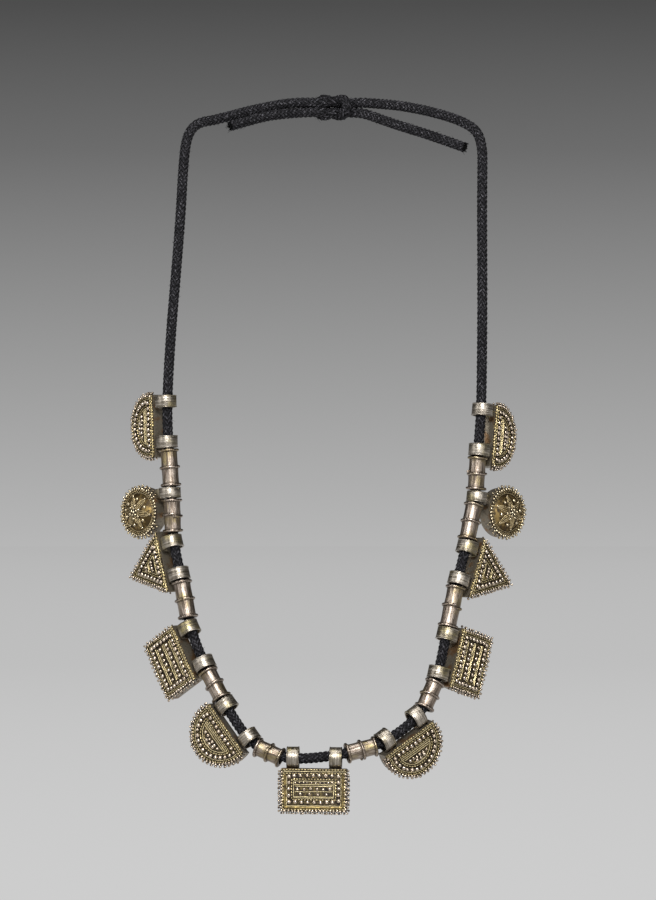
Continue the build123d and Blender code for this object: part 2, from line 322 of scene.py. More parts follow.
def moved(points: np.ndarray, matrix: Matrix) -> np.ndarray:
    """Returns points moved by a matrix."""
    turn = np.array(matrix)
    return points @ turn[:3, :3].T + turn[:3, 3]


def smooth_step(value: np.ndarray, low: float, high: float) -> np.ndarray:
    """Rises smoothly from 0 at low to 1 at high."""
    share = np.clip((value - low) / (high - low), 0.0, 1.0)
    return share * share * (3.0 - 2.0 * share)


@dataclass
class Shell:
    """Mesh data of one or more closed forms, before they are joined as a piece.

    relief is 0 in a dark recess, with tarnish and painted shade, and 1 on a rubbed top; finish numbers a
    material slot.
    """

    points: np.ndarray
    faces: list[tuple[int, ...]]
    relief: np.ndarray
    finish: np.ndarray
    local: np.ndarray | None = None

    @staticmethod
    def take(obj: Object, relief: float = 0.6, finish: Finish = Finish.GILT) -> "Shell":
        """Reads an object's mesh and removes the object.

        Args:
            obj: a mesh object in object mode.
            relief: how rubbed its surface is; low relief gets tarnish and painted shade.
            finish: the material slot of all its faces.

        Returns:
            The mesh's data in the parent's frame.
        """
        bpy.context.view_layer.update()
        mesh = obj.data
        points = moved(vertex_table(mesh), obj.matrix_world)
        faces = [tuple(face.vertices) for face in mesh.polygons]
        bpy.data.objects.remove(obj)
        bpy.data.meshes.remove(mesh)
        return Shell(points, faces, np.full(len(points), relief), np.full(len(faces), finish.value))

    def placed(self, matrix: Matrix) -> "Shell":
        """Returns a copy moved by a matrix; its local places stay."""
        points = moved(self.points, matrix)
        return Shell(points, list(self.faces), self.relief.copy(), self.finish.copy(), self.local)

    def repeated(self, matrices: Sequence[Matrix]) -> "Shell":
        """Returns one shell with a copy of this one at each matrix."""
        return Shell.joined([self.placed(matrix) for matrix in matrices])

    def with_relief(self, rule: Callable[[np.ndarray], np.ndarray]) -> "Shell":
        """Returns this shell with its relief worked out from its points by a rule."""
        self.relief = np.clip(rule(self.points), 0.0, 1.0)
        return self

    @staticmethod
    def joined(shells: Iterable["Shell"]) -> "Shell":
        """Joins shells into one without welding them.

        Args:
            shells: the shells; empty ones are left out.

        Returns:
            One shell, with local places if all of them have some.
        """
        shells = [shell for shell in shells if len(shell.points)]
        faces: list[tuple[int, ...]] = []
        start = 0
        for shell in shells:
            faces += [tuple(corner + start for corner in face) for face in shell.faces]
            start += len(shell.points)
        points = np.concatenate([shell.points for shell in shells])
        relief = np.concatenate([shell.relief for shell in shells])
        finish = np.concatenate([shell.finish for shell in shells])
        local = None
        if all(shell.local is not None for shell in shells):
            local = np.concatenate([shell.local for shell in shells])
        return Shell(points, faces, relief, finish, local)

    def to_object(self, name: str, looks: Looks, smooth_angle: float = 50.0) -> Object:
        """Makes the shell an object at the origin.

        Args:
            name: the object's name.
            looks: the material of each finish that the shell has.
            smooth_angle: under which angle in degrees faces are shaded as one.

        Returns:
            The new object.
        """
        mesh = bpy.data.meshes.new(name)
        mesh.from_pydata(self.points.tolist(), [], self.faces)
        used, slots = np.unique(self.finish, return_inverse=True)
        for number in used.tolist():
            mesh.materials.append(looks[Finish(number)])
        mesh.polygons.foreach_set("material_index", slots.astype(np.int32).ravel())
        relief = mesh.attributes.new("relief", "FLOAT", "POINT")
        relief.data.foreach_set("value", self.relief.astype(np.float32))
        local = mesh.attributes.new("local", "FLOAT_VECTOR", "POINT")
        source = self.points if self.local is None else self.local
        local.data.foreach_set("vector", source.astype(np.float32).ravel())
        mesh.update()
        obj = linked(name, mesh)
        make_active(obj)
        edit_all()
        bpy.ops.mesh.normals_make_consistent(inside=False)
        object_mode()
        bpy.ops.object.shade_smooth_by_angle(angle=math.radians(smooth_angle))
        return obj


@dataclass(frozen=True)
class Line:
    """Points at an even step along the cord, in metres, with a frame at each.

    Marks are distances along it. Across and up are unit vectors square to it.
    """

    marks: np.ndarray
    points: np.ndarray
    across: np.ndarray
    up: np.ndarray

    def between(self, low: float, high: float) -> "Line":
        """Returns the stretch from one mark to another."""
        chosen = (self.marks >= low) & (self.marks <= high)
        return Line(self.marks[chosen], self.points[chosen], self.across[chosen], self.up[chosen])

    def frame(self, index: int) -> tuple[Vector, Vector, Vector]:
        """Returns one point and the two vectors across the line there."""
        return Vector(self.points[index]), Vector(self.across[index]), Vector(self.up[index])


class Route:
    """A smooth line through space that is read from a NURBS spline."""

    def __init__(self, control: Sequence[Sequence[float]], detail: int = 16) -> None:
        """Reads the line of a quadratic NURBS spline with these control points.

        Args:
            control: the spline's control points, in metres.
            detail: how many pieces each of its spans is read in.
        """
        data = bpy.data.curves.new("route", "CURVE")
        data.dimensions = "3D"
        spline = data.splines.new("NURBS")
        spline.points.add(len(control) - 1)
        for point, place in zip(spline.points, control):
            point.co = (*place, 1.0)
        spline.order_u = 3
        spline.use_endpoint_u = True
        spline.resolution_u = detail
        obj = linked("route", data)
        mesh = bpy.data.meshes.new_from_object(obj)
        self.points = vertex_table(mesh)
        bpy.data.objects.remove(obj)
        bpy.data.curves.remove(data)
        bpy.data.meshes.remove(mesh)
        runs = np.linalg.norm(np.diff(self.points, axis=0), axis=1)
        self.marks = np.concatenate([[0.0], np.cumsum(runs)])

    @property
    def length(self) -> float:
        """Length of the line in metres."""
        return float(self.marks[-1])

    def nearest_mark(self, place: Sequence[float]) -> float:
        """Returns how far along the line its point nearest to a place is."""
        gaps = np.linalg.norm(self.points - np.array(place), axis=1)
        return float(self.marks[int(np.argmin(gaps))])

    def sampled(self, step: float) -> Line:
        """Reads points along the line, with frames that turn as little as they can.

        Args:
            step: the spacing of the points, in metres.

        Returns:
            The points and their frames.
        """
        count = max(int(self.length / step), 2) + 1
        marks = np.linspace(0.0, self.length, count)
        points = np.stack([np.interp(marks, self.marks, self.points[:, axis]) for axis in range(3)], 1)
        ahead = np.gradient(points, axis=0)
        ahead /= np.linalg.norm(ahead, axis=1)[:, None]
        across = np.empty_like(points)
        side = np.cross(ahead[0], (0.0, 0.0, 1.0))
        for index, direction in enumerate(ahead):
            side = side - direction * np.dot(side, direction)
            side /= np.linalg.norm(side)
            across[index] = side
        return Line(marks, points, across, np.cross(ahead, across))


@dataclass(frozen=True)
class Outline:
    """The outline of a case's box, in its own plane, with the cord along y = 0."""

    kind: CaseKind
    tablet: tuple[float, float] = (33.4, 21.6)
    side_tablet: tuple[float, float] = (30.8, 22.6)
    moon: tuple[float, float] = (31.2, 20.4)
    triangle: tuple[float, float] = (32.6, 27.4)
    disc_diameter: float = 25.0
    arc_steps: int = 120

    @property
    def size(self) -> tuple[float, float]:
        """Length along the cord and height of the box.

        Returns:
            The two sizes.
        """
        return {
            CaseKind.TABLET: self.tablet,
            CaseKind.SIDE_TABLET: self.side_tablet,
            CaseKind.HALF_MOON: self.moon,
            CaseKind.TRIANGLE: self.triangle,
            CaseKind.DISC: (self.disc_diameter, self.disc_diameter),
        }[self.kind]

    @property
    def disc_centre(self) -> float:
        """Height of a disc's centre; it stays clear of the spool beads beside it."""
        return -SIZES.collar_radius - SIZES.disc_gap - self.disc_diameter / 2

    def corners(self, inset: float) -> list[Vector]:
        """Draws the outline at a distance inside the box's own, without rounding.

        Args:
            inset: the distance.

        Returns:
            Points round the closed outline.
        """
        length, height = self.size
        top = -SIZES.cord_wall
        half = length / 2
        if self.kind is CaseKind.DISC:
            return self.arc(0.0, self.disc_centre, half - inset, math.pi / 2, -3 * math.pi / 2)[:-1]
        if self.kind is CaseKind.HALF_MOON:
            radius = (half**2 + height**2) / (2 * height)
            centre = top - height + radius
            start = math.asin((top - inset - centre) / (radius - inset))
            return self.arc(0.0, centre, radius - inset, start, -math.pi - start)
        if self.kind is CaseKind.TRIANGLE:
            side = math.hypot(half, height)
            inner = half * height / (half + side)
            share = (inner - inset) / inner
            middle = Vector((0.0, top - inner))
            points = (Vector((half, top)), Vector((0.0, top - height)), Vector((-half, top)))
            return [middle + (point - middle) * share for point in points]
        low = top - height + inset
        high = top - inset
        reach = half - inset
        return [Vector(place) for place in ((reach, high), (reach, low), (-reach, low), (-reach, high))]

    def arc(self, x: float, y: float, radius: float, start: float, end: float) -> list[Vector]:
        """Returns points along an arc from one angle to another, in radians."""
        turns = [start + (end - start) * index / self.arc_steps for index in range(self.arc_steps + 1)]
        return [Vector((x + radius * math.cos(turn), y + radius * math.sin(turn))) for turn in turns]

    def path(self, inset: float, step: float, multiple: int = 1, rounding: float = 0.7) -> list[Vector]:
        """Returns the closed outline at an even step, its corners a little rounded.

        Args:
            inset: distance inside the box's outline.
            step: spacing of the points.
            multiple: what the number of points is a multiple of.
            rounding: how far a corner's rounding reaches along its edges.

        Returns:
            Points clockwise from the end of the cord side.
        """
        fine = 0.1
        dense = resampled(self.corners(inset), fine, closed=True)
        reach = max(int(rounding / fine), 1)
        if self.kind is not CaseKind.DISC:
            table = np.array([tuple(point) for point in dense])
            window = np.ones(2 * reach + 1) / (2 * reach + 1)
            padded = np.concatenate([table[-reach:], table, table[:reach]])
            table = np.stack([np.convolve(padded[:, axis], window, "valid") for axis in (0, 1)], 1)
            dense = [Vector(row) for row in table.tolist()]
        total = sum((b - a).length for a, b in zip(dense, dense[1:] + dense[:1]))
        count = max(round(total / step / multiple), 1) * multiple
        return resampled(dense, total / count, closed=True, count=count)

    def chord_span(self, depth: float, margin: float) -> tuple[float, float, float]:
        """Finds a straight run parallel to the cord.

        Args:
            depth: distance from the cord side.
            margin: what the run keeps from the outline at both ends.

        Returns:
            Where it starts and ends along the cord, and its place across it.
        """
        level = -SIZES.cord_wall - depth
        edge = self.corners(min(margin, depth * 0.9, (self.size[1] - depth) * 0.9))
        crossings = []
        for start, end in zip(edge, edge[1:] + edge[:1]):
            if (start.y - level) * (end.y - level) <= 0 and abs(start.y - end.y) > 1e-9:
                share = (level - start.y) / (end.y - start.y)
                crossings.append(start.x + (end.x - start.x) * share)
        return min(crossings), max(crossings), level

    def chord(self, depth: float, margin: float, step: float) -> list[Vector]:
        """Returns the points of such a run, about a step apart."""
        low, high, level = self.chord_span(depth, margin)
        count = max(int((high - low) / step), 1)
        return [Vector((low + (high - low) * index / count, level)) for index in range(count + 1)]


def resampled(
    points: Sequence[Vector], step: float, closed: bool = False, count: int | None = None
) -> list[Vector]:
    """Reads points at an even step along a line of any dimension.

    Args:
        points: the line's points.
        step: the spacing of the new ones.
        closed: whether the line's last point is joined to its first.
        count: how many spaces to make instead.

    Returns:
        The new points, on a closed line without its first point again.
    """
    table = np.array([tuple(point) for point in points])
    if closed:
        table = np.concatenate([table, table[:1]])
    runs = np.linalg.norm(np.diff(table, axis=0), axis=1)
    marks = np.concatenate([[0.0], np.cumsum(runs)])
    if count is None:
        count = max(round(marks[-1] / step), 1)
    wanted = np.linspace(0.0, marks[-1], count + 1)
    if closed:
        wanted = wanted[:-1]
    columns = [np.interp(wanted, marks, table[:, axis]) for axis in range(table.shape[1])]
    return [Vector(row) for row in np.stack(columns, 1).tolist()]


@dataclass(frozen=True)
class Wire:
    """A soldered wire, in millimetres.

    Flatness is its section's height by its width. Pitch is that of its beads, 0 on a plain wire,
    and groove how deep they are cut. Spacing is that of a plain wire's rings, in widths. Rubbed is
    how far down from its top it is rubbed bright.
    """

    width: float
    flatness: float
    pitch: float = 0.0
    sides: int = 6
    steps: int = 4
    groove: float = 0.6
    spacing: float = 0.8
    rubbed: float = 0.34

    @property
    def step(self) -> float:
        """Distance between rings along the wire."""
        return self.pitch / self.steps if self.pitch else self.width * self.spacing

    @property
    def rise(self) -> float:
        """Height of its middle over what it lies on."""
        return self.width * self.flatness / 2

    def section(self) -> Object:
        """Makes the wire's section as a closed curve.

        Returns:
            The curve.
        """
        data = bpy.data.curves.new("section", "CURVE")
        data.dimensions = "2D"
        spline = data.splines.new("POLY")
        spline.points.add(self.sides - 1)
        spline.use_cyclic_u = True
        for index, point in enumerate(spline.points):
            turn = math.tau * index / self.sides
            across = self.width / 2 * math.cos(turn)
            point.co = (across, self.rise * math.sin(turn), 0.0, 1.0)
        return linked("section", data)

    def laid(self, path: Sequence[Vector], height: float = 0.0, closed: bool = False) -> Shell:
        """Lays the wire along a path.

        Args:
            path: points in the plane or in space.
            height: added to the path's height.
            closed: whether the wire's ends meet.

        Returns:
            The wire's shell.
        """
        section = self.section()
        data = bpy.data.curves.new("wire", "CURVE")
        data.dimensions = "3D"
        data.twist_mode = "Z_UP"
        data.bevel_mode = "OBJECT"
        data.bevel_object = section
        data.use_fill_caps = not closed
        spline = data.splines.new("POLY")
        spline.points.add(len(path) - 1)
        spline.use_cyclic_u = closed
        for index, (point, place) in enumerate(zip(spline.points, path)):
            level = place.z if len(place) > 2 else 0.0
            point.co = (place.x, place.y, level + height, 1.0)
            if self.pitch:
                dip = 0.5 - 0.5 * math.cos(math.tau * index / self.steps)
                point.radius = 1.0 - self.groove * dip
        make_active(linked("wire", data))
        bpy.ops.object.convert(target="MESH")
        shell = Shell.take(bpy.context.object)
        bpy.data.objects.remove(section)
        return shell


BEADED = Wire(width=0.84, flatness=0.9, pitch=1.5, rubbed=0.2)
PLAIN = Wire(width=0.44, flatness=0.9)
STRIP = Wire(width=1.15, flatness=0.3, sides=8)
COLLAR = Wire(width=1.4, flatness=1.0, sides=10)


def plate_wire(fine: bool) -> Wire:
    """Returns the plain wire if it is to be fine, or else the beaded one."""
    return PLAIN if fine else BEADED


@dataclass(frozen=True)
class Waver:
    """Smooth noise that moves points a little, as hand work is never quite true.

    Reach is the furthest that it moves a point, and pitch the size of its waves, in millimetres.
    """

    reach: float
    pitch: float

    def moved(self, points: np.ndarray, key: float) -> np.ndarray:
        """Returns the points moved; the key makes one piece's noise differ from another's."""
        start = Vector((key * 17.3, key * -9.1, key * 5.7))
        moves = [noise.noise_vector(Vector(point) / self.pitch + start) for point in points.tolist()]
        return points + np.array([tuple(move) for move in moves]) * self.reach


WIRE_WAVER = Waver(0.16, 3.2)
CASE_WAVER = Waver(0.16, 9.0)
SPOOL_WAVER = Waver(0.12, 6.0)
GRAIN_FLATNESS = 0.94


def ball(diameter: float, segments: int = 10, rings: int = 6) -> Shell:
    """Models one grain as a small ball, a little flattened.

    Args:
        diameter: its width.
        segments: how many sides it has.
        rings: how many rings of faces it has.

    Returns:
        The ball round the origin.
    """
    deselect_all()
    bpy.ops.mesh.primitive_uv_sphere_add(segments=segments, ring_count=rings, radius=diameter / 2)
    obj = bpy.context.object
    edit_all()
    bpy.ops.transform.resize(value=(1.0, 1.0, GRAIN_FLATNESS))
    object_mode()
    return Shell.take(obj, finish=Finish.GRAIN)


@dataclass(frozen=True)
class StalkedGrain:
    """One grain of the fringe on its short stalk, in millimetres.

    Length is from the stalk's root to the grain's middle. The widths at the stalk's root and neck
    are shares of the grain's diameter, and the root goes on under the surface by its sink.
    """

    diameter: float = 1.25
    length: float = 0.85
    root_width: float = 0.72
    neck_width: float = 0.48
    sink: float = 0.4
    root_relief: float = 0.3
    grain_relief: float = 0.85

    @property
    def reach(self) -> float:
        """How far it stands out from the stalk's root."""
        return self.length + self.diameter / 2

    def model(self) -> Shell:
        """Models the grain and its stalk along +z, with the stalk's root at the origin.

        Returns:
            The two as one shell.
        """
        deselect_all()
        stalk = self.length - self.diameter / 2
        radius = self.diameter / 2
        bpy.ops.mesh.primitive_cone_add(
            vertices=6, radius1=radius * self.root_width, radius2=radius * self.neck_width,
            depth=stalk + self.sink, location=(0.0, 0.0, (stalk - self.sink) / 2),
        )
        root = Shell.take(bpy.context.object, relief=self.root_relief)
        grain = ball(self.diameter, 7, 5).placed(Matrix.Translation((0.0, 0.0, self.length)))
        grain.relief[:] = self.grain_relief
        return Shell.joined([root, grain])


@dataclass(frozen=True)
class FringeRow:
    """One row of the fringe: its depth under the plate, its rise forwards and its shade."""

    sink: float
    rise: float
    shade: float = 0.0


@dataclass(frozen=True)
class GrainRow:
    """A straight row of grains parallel to the cord side."""

    depth: float
    count: int
    diameter: float
    margin: float


@dataclass(frozen=True)
class GrainCircle:
    """A circle of grains on a disc's dome; start is the turn of the first one, in steps."""

    radius: float
    count: int
    start: float
    diameter: float


@dataclass(frozen=True)
class WireRun:
    """A straight wire parallel to the cord side."""

    depth: float
    margin: float
    fine: bool = True


@dataclass(frozen=True)
class PlateDesign:
    """What is soldered on a front plate, by its distance from the plate's edge in millimetres.

    The ring of large grains and the frames of wire may lie a little nearer to the cord.
    """

    cord_side: tuple[float, ...] = (0.45, 1.4, 2.35)
    border: tuple[float, ...] = (1.55, 2.5)
    strip: float = 0.0
    ring_inset: float = 3.9
    ring_pitch: float = 2.55
    ring_lift: float = 0.0
    frames: tuple[float, ...] = (5.5, 6.4)
    frame_lift: float = 0.0
    inner_ring: float = 0.0
    inner_ring_depth: float = 0.0
    runs: tuple[WireRun, ...] = ()
    rows: tuple[GrainRow, ...] = ()


PLATE_DESIGNS = {
    CaseKind.TABLET: PlateDesign(
        cord_side=(0.4, 1.35, 2.3), border=(1.3, 3.1), strip=2.2,
        ring_inset=4.2, ring_pitch=3.15, ring_lift=0.85, frames=(5.65, 6.6), frame_lift=0.45,
        runs=(WireRun(7.9, 7.4), WireRun(8.75, 7.4), WireRun(11.4, 7.4), WireRun(14.0, 7.4)),
        rows=(
            GrainRow(7.0, 10, 1.05, 7.0), GrainRow(10.05, 6, 1.95, 7.0), GrainRow(12.75, 4, 1.7, 8.4),
        ),
    ),
    CaseKind.SIDE_TABLET: PlateDesign(
        ring_inset=3.8, frames=(),
        runs=(
            WireRun(5.55, 5.4), WireRun(6.5, 5.6), WireRun(10.6, 5.6), WireRun(11.6, 5.6),
            WireRun(15.9, 5.6), WireRun(16.85, 5.4),
        ),
        rows=(GrainRow(8.55, 8, 2.05, 5.4), GrainRow(13.8, 7, 1.95, 5.6)),
    ),
    CaseKind.HALF_MOON: PlateDesign(
        ring_inset=3.85, ring_pitch=2.65, frames=(5.6, 6.55), inner_ring=8.2, inner_ring_depth=11.2,
        runs=(WireRun(7.5, 7.1), WireRun(8.45, 7.2), WireRun(12.3, 10.4), WireRun(13.25, 10.4)),
        rows=(GrainRow(10.2, 6, 1.85, 7.6),),
    ),
    CaseKind.TRIANGLE: PlateDesign(
        ring_inset=3.75, frames=(5.5, 6.4),
        runs=(WireRun(10.8, 6.3, fine=False), WireRun(11.8, 6.3)),
        rows=(GrainRow(8.7, 4, 1.65, 6.9), GrainRow(13.6, 2, 1.5, 5.8)),
    ),
    CaseKind.DISC: PlateDesign(cord_side=(), border=(1.4,), frames=()),
}


def select_points(obj: Object, rule: Callable[[Vector], bool]) -> None:
    """Goes into edit mode with some points selected, and the edges and faces between them.

    Args:
        obj: the active object.
        rule: says of a point's place whether to select it.
    """
    object_mode()
    mesh = obj.data
    chosen = [rule(vertex.co) for vertex in mesh.vertices]
    mesh.vertices.foreach_set("select", chosen)
    for items in (mesh.edges, mesh.polygons):
        items.foreach_set("select", [all(chosen[i] for i in item.vertices) for item in items])
    bpy.ops.object.mode_set(mode="EDIT")


@dataclass(frozen=True)
class Rosette:
    """The raised middle of a disc: a dome with leaves of wire and circles of grains.

    Base and cut are heights over the box's front. Each leaf is two nested pointed loops of wire,
    which reach leaf_half inwards and outwards from leaf_middle.
    """

    reach: float = 9.5
    rise: float = 3.6
    base: float = 0.2
    cut: float = 0.15
    relief: float = 0.36
    petals: int = 6
    leaf_start: float = 0.3
    leaf_widths: tuple[float, ...] = (1.3, 0.5)
    leaf_middle: float = 5.1
    leaf_half: float = 3.2
    leaf_steps: int = 36
    leaf_lift: float = 0.12
    leaf_relief: float = 0.8
    wires: tuple[tuple[float, bool], ...] = ((10.55, False), (9.85, True))
    circles: tuple[GrainCircle, ...] = (
        GrainCircle(6.6, 6, 0.8, 1.7),
        GrainCircle(3.3, 6, 0.8, 1.4),
        GrainCircle(1.6, 5, 0.5, 1.4),
        GrainCircle(8.5, 6, 0.3, 1.3),
        GrainCircle(0.0, 1, 0.0, 1.6),
    )
    grain_lift: float = 0.3

    @property
    def sphere(self) -> float:
        """Radius of the sphere that the dome is a part of."""
        return (self.reach**2 + self.rise**2) / (2 * self.rise)

    def height(self, radius: float) -> float:
        """Returns how high the dome stands at a distance from its centre."""
        under = math.sqrt(max(self.sphere**2 - radius**2, 0.0))
        return max(under - self.sphere + self.rise, 0.0)


@dataclass(frozen=True)
class BandLoop:
    """A band loop round the cord, in millimetres: rolled sheet with a round wire along each rim.

    The sheet lies a little under the loop's radius. A seam beside each rim is darkened with painted
    shade.
    """

    width: float
    sheet_sink: float = 0.12
    edge: float = 0.14
    rim: float = 0.3
    rim_sink: float = 0.24
    # Painted shade in a seam inside each rim: its inset, width and depth
    seam_inset: float = 0.75
    seam_width: float = 0.22
    seam_shade: float = 0.5
    sides: int = 64

    def sheet(self, place: Vector, turn: Vector) -> Shell:
        """Models the sheet: an open cylinder that is given a wall.

        Args:
            place: its middle.
            turn: its turn, as angles.

        Returns:
            The sheet.
        """
        deselect_all()
        bpy.ops.mesh.primitive_cylinder_add(
            vertices=self.sides, radius=SIZES.loop_radius - self.sheet_sink, depth=self.width,
            end_fill_type="NOTHING", location=place, rotation=turn,
        )
        band = bpy.context.object
        wall = band.modifiers.new("wall", "SOLIDIFY")
        wall.thickness = SIZES.loop_wall - self.sheet_sink
        wall.offset = -1.0
        bevel = band.modifiers.new("edges", "BEVEL")
        bevel.width = self.edge
        bevel.segments = 2
        bevel.limit_method = "ANGLE"
        make_active(band)
        bpy.ops.object.modifier_apply(modifier="wall")
        bpy.ops.object.modifier_apply(modifier="edges")
        return Shell.take(band, relief=0.75, finish=Finish.BAND)

    def model(self, offset: float) -> Shell:
        """Models the loop.

        Args:
            offset: its place along the cord.

        Returns:
            The loop round the x axis, with painted shade in its seams.
        """
        turn = Vector((0.0, math.pi / 2, 0.0))
        pieces = [self.sheet(Vector((offset, 0.0, 0.0)), turn)]
        for end in (-1, 1):
            bpy.ops.mesh.primitive_torus_add(
                major_segments=self.sides, minor_segments=8,
                major_radius=SIZES.loop_radius - self.rim_sink, minor_radius=self.rim,
                location=(offset + end * (self.width / 2 - self.rim), 0.0, 0.0), rotation=turn,
            )
            pieces.append(Shell.take(bpy.context.object, relief=0.95, finish=Finish.BAND))
        loop = Shell.joined(pieces)
        # Painted shade: a dark seam just inside each rim.
        across = np.abs(loop.points[:, 0] - offset)
        seam = np.exp(-(((across - self.width / 2 + self.seam_inset) / self.seam_width) ** 2))
        loop.relief = np.clip(loop.relief - self.seam_shade * seam, 0.0, 1.0)
        return loop


@dataclass
class AmuletCase:
    """A box of sheet metal with granulated front plate, fringe and band loops, in millimetres.

    Insets are from the box's outline and lifts are over its front. The play is how far a grain may
    differ in size, place and height.
    """

    kind: CaseKind
    rng: random.Random
    back_round: float = 1.5
    corner_round: float = 0.8
    plate_inset: float = 0.1
    plate_sink: float = 0.2
    plate_rise: float = 0.25
    plate_edge: float = 0.2
    plate_relief: float = 0.16
    size_play: tuple[float, float] = (-0.14, 0.12)
    place_play: float = 0.2
    level_play: tuple[float, float] = (-0.08, 0.06)
    edge_bead: float = 1.45
    edge_pitch: float = 1.75
    edge_inset: float = 0.6
    edge_lift: float = 0.65
    edge_clear: float = 1.3
    wire_relief: float = 0.95
    wire_gap: float = 0.3
    cord_side_gap: float = 0.4
    strip_step: float = 0.5
    strip_lift: float = 0.38
    strip_relief: float = 0.34
    ring_grain: float = 2.25
    ring_rounding: float = 0.3
    ring_lift: float = 0.85
    inner_pitch: float = 0.93
    inner_grain: float = 0.9
    inner_lift: float = 0.75
    row_lift: float = 0.7
    rosette: Rosette = Rosette()
    fringe_grain: StalkedGrain = StalkedGrain()
    fringe_pitch: float = 2.4
    fringe_inset: float = -0.02
    fringe_clear: float = 1.0
    fringe_tilt: float = 0.24
    fringe_rows: tuple[FringeRow, ...] = (FringeRow(0.2, 0.75), FringeRow(1.6, 0.15, 0.35))
    neck_sink: float = 0.2
    neck_reach: float = 10.5
    neck_narrower: float = 0.3
    neck_depth: float = 4.6
    neck_edge: float = 0.5
    outline: Outline = field(init=False)
    design: PlateDesign = field(init=False)

    def __post_init__(self) -> None:
        """Sets the outline and the design for the case's kind."""
        self.outline = Outline(self.kind)
        self.design = PLATE_DESIGNS[self.kind]

    def flat_outline(self, inset: float, level: float) -> Object:
        """Models the outline as one flat face, from a primitive.

        Args:
            inset: distance inside the box's outline.
            level: the face's height.

        Returns:
            The object, in edit mode with all of it selected.
        """
        deselect_all()
        length, height = self.outline.size
        top = -SIZES.cord_wall - inset
        corners = self.outline.corners(inset)
        wide = max(corner.x for corner in corners)
        low = min(corner.y for corner in corners)
        if self.kind is CaseKind.DISC:
            centre = (0.0, self.outline.disc_centre, level)
            bpy.ops.mesh.primitive_circle_add(vertices=72, radius=wide, fill_type="NGON", location=centre)
        elif self.kind is CaseKind.HALF_MOON:
            radius = (length**2 / 4 + height**2) / (2 * height)
            centre = (0.0, -SIZES.cord_wall - height + radius, level)
            bpy.ops.mesh.primitive_circle_add(
                vertices=120, radius=radius - inset, fill_type="NGON", location=centre
            )
        elif self.kind is CaseKind.TRIANGLE:
            bpy.ops.mesh.primitive_circle_add(vertices=3, radius=1.0, fill_type="NGON")
        else:
            centre = (0.0, (top + low) / 2, level)
            bpy.ops.mesh.primitive_plane_add(size=1.0, location=centre)
        obj = bpy.context.object
        edit_all()
        if self.kind is CaseKind.HALF_MOON:
            bpy.ops.mesh.bisect(plane_co=(0.0, top, level), plane_no=(0.0, 1.0, 0.0), clear_outer=True)
            edge = top - obj.location.y
            select_points(obj, lambda point: point.y > edge - CLOSE)
        elif self.kind is CaseKind.TRIANGLE:
            tall = (top - low) / 1.5
            growth = (wide / math.sin(math.pi / 3), -tall, 1.0)
            bpy.ops.transform.resize(value=growth, center_override=(0.0, 0.0, 0.0))
            bpy.ops.transform.translate(value=(0.0, top - tall / 2, level))
        elif self.kind is not CaseKind.DISC:
            bpy.ops.transform.resize(value=(2 * wide, top - low, 1.0))
        if self.kind is not CaseKind.DISC:
            bpy.ops.mesh.bevel(offset=self.corner_round, segments=3, affect="VERTICES")
        bpy.ops.mesh.select_all(action="SELECT")
        return obj

    def box(self) -> Shell:
        """Models the closed box: the outline extruded backwards, and its back's edge rounded.

        Returns:
            The box.
        """
        obj = self.flat_outline(0.0, SIZES.plate)
        extrude(-SIZES.case_depth)
        object_mode()
        low = min(vertex.co.z for vertex in obj.data.vertices)
        select_points(obj, lambda point: point.z < low + CLOSE)
        bpy.ops.mesh.bevel(offset=self.back_round, segments=4)
        select_points(obj, lambda point: point.z < low + CLOSE)
        bpy.ops.mesh.poke()
        object_mode()
        return Shell.take(obj, relief=0.5, finish=Finish.WALL)

    def plate(self) -> Shell:
        """Models the front plate, a thin sheet soldered on, with a soft edge.

        Returns:
            The plate.
        """
        obj = self.flat_outline(self.plate_inset, SIZES.plate - self.plate_sink)
        extrude(self.plate_sink + self.plate_rise)
        object_mode()
        high = max(vertex.co.z for vertex in obj.data.vertices)
        select_points(obj, lambda point: point.z > high - CLOSE)
        bpy.ops.mesh.bevel(offset=self.plate_edge, segments=2)
        object_mode()
        return Shell.take(obj, relief=self.plate_relief)

    def grains(self, places: Sequence[Vector], diameter: float, lift: float) -> Shell:
        """Sets a grain at each place, none quite alike or quite in line.

        Args:
            places: where the grains go, in the plate's plane.
            diameter: their diameter.
            lift: the height of their centres.

        Returns:
            The grains, dark at their feet with tarnish and painted shade.
        """
        model = ball(diameter)
        foot, top = -diameter / 4, diameter / 3
        # Painted shade with tarnish: each grain is darker at its foot, where it meets the plate.
        model.with_relief(lambda points: 0.12 + 0.88 * smooth_step(points[:, 2], foot, top))
        matrices = []
        for place in places:
            grow = 1.0 + self.rng.uniform(*self.size_play)
            shift = [self.rng.uniform(-self.place_play, self.place_play) for _ in range(2)]
            level = SIZES.plate + lift + self.rng.uniform(*self.level_play)
            spot = Vector((place.x + shift[0], place.y + shift[1], level))
            matrices.append(Matrix.Translation(spot) @ Matrix.Scale(grow, 4))
        return model.repeated(matrices)

    def wire(self, path: Sequence[Vector], fine: bool, closed: bool = False) -> Shell:
        """Solders a wire on the plate along a path.

        Args:
            path: points in the plate's plane.
            fine: whether it is a plain wire.
            closed: whether its ends meet.

        Returns:
            The wire, dark at its foot with tarnish and painted shade, and rubbed on its top.
        """
        kind = plate_wire(fine)
        height = SIZES.plate + self.plate_rise + kind.rise
        laid = kind.laid([Vector((place.x, place.y, 0.0)) for place in path], height, closed)
        top = laid.points[:, 2].max()
        # Painted shade with tarnish: the wire is dark below its rubbed top.
        bright = (top - kind.rubbed, top - 0.04)
        laid.with_relief(lambda points: self.wire_relief * smooth_step(points[:, 2], *bright))
        laid.points = WIRE_WAVER.moved(laid.points, self.rng.uniform(0.0, 9.0))
        return laid

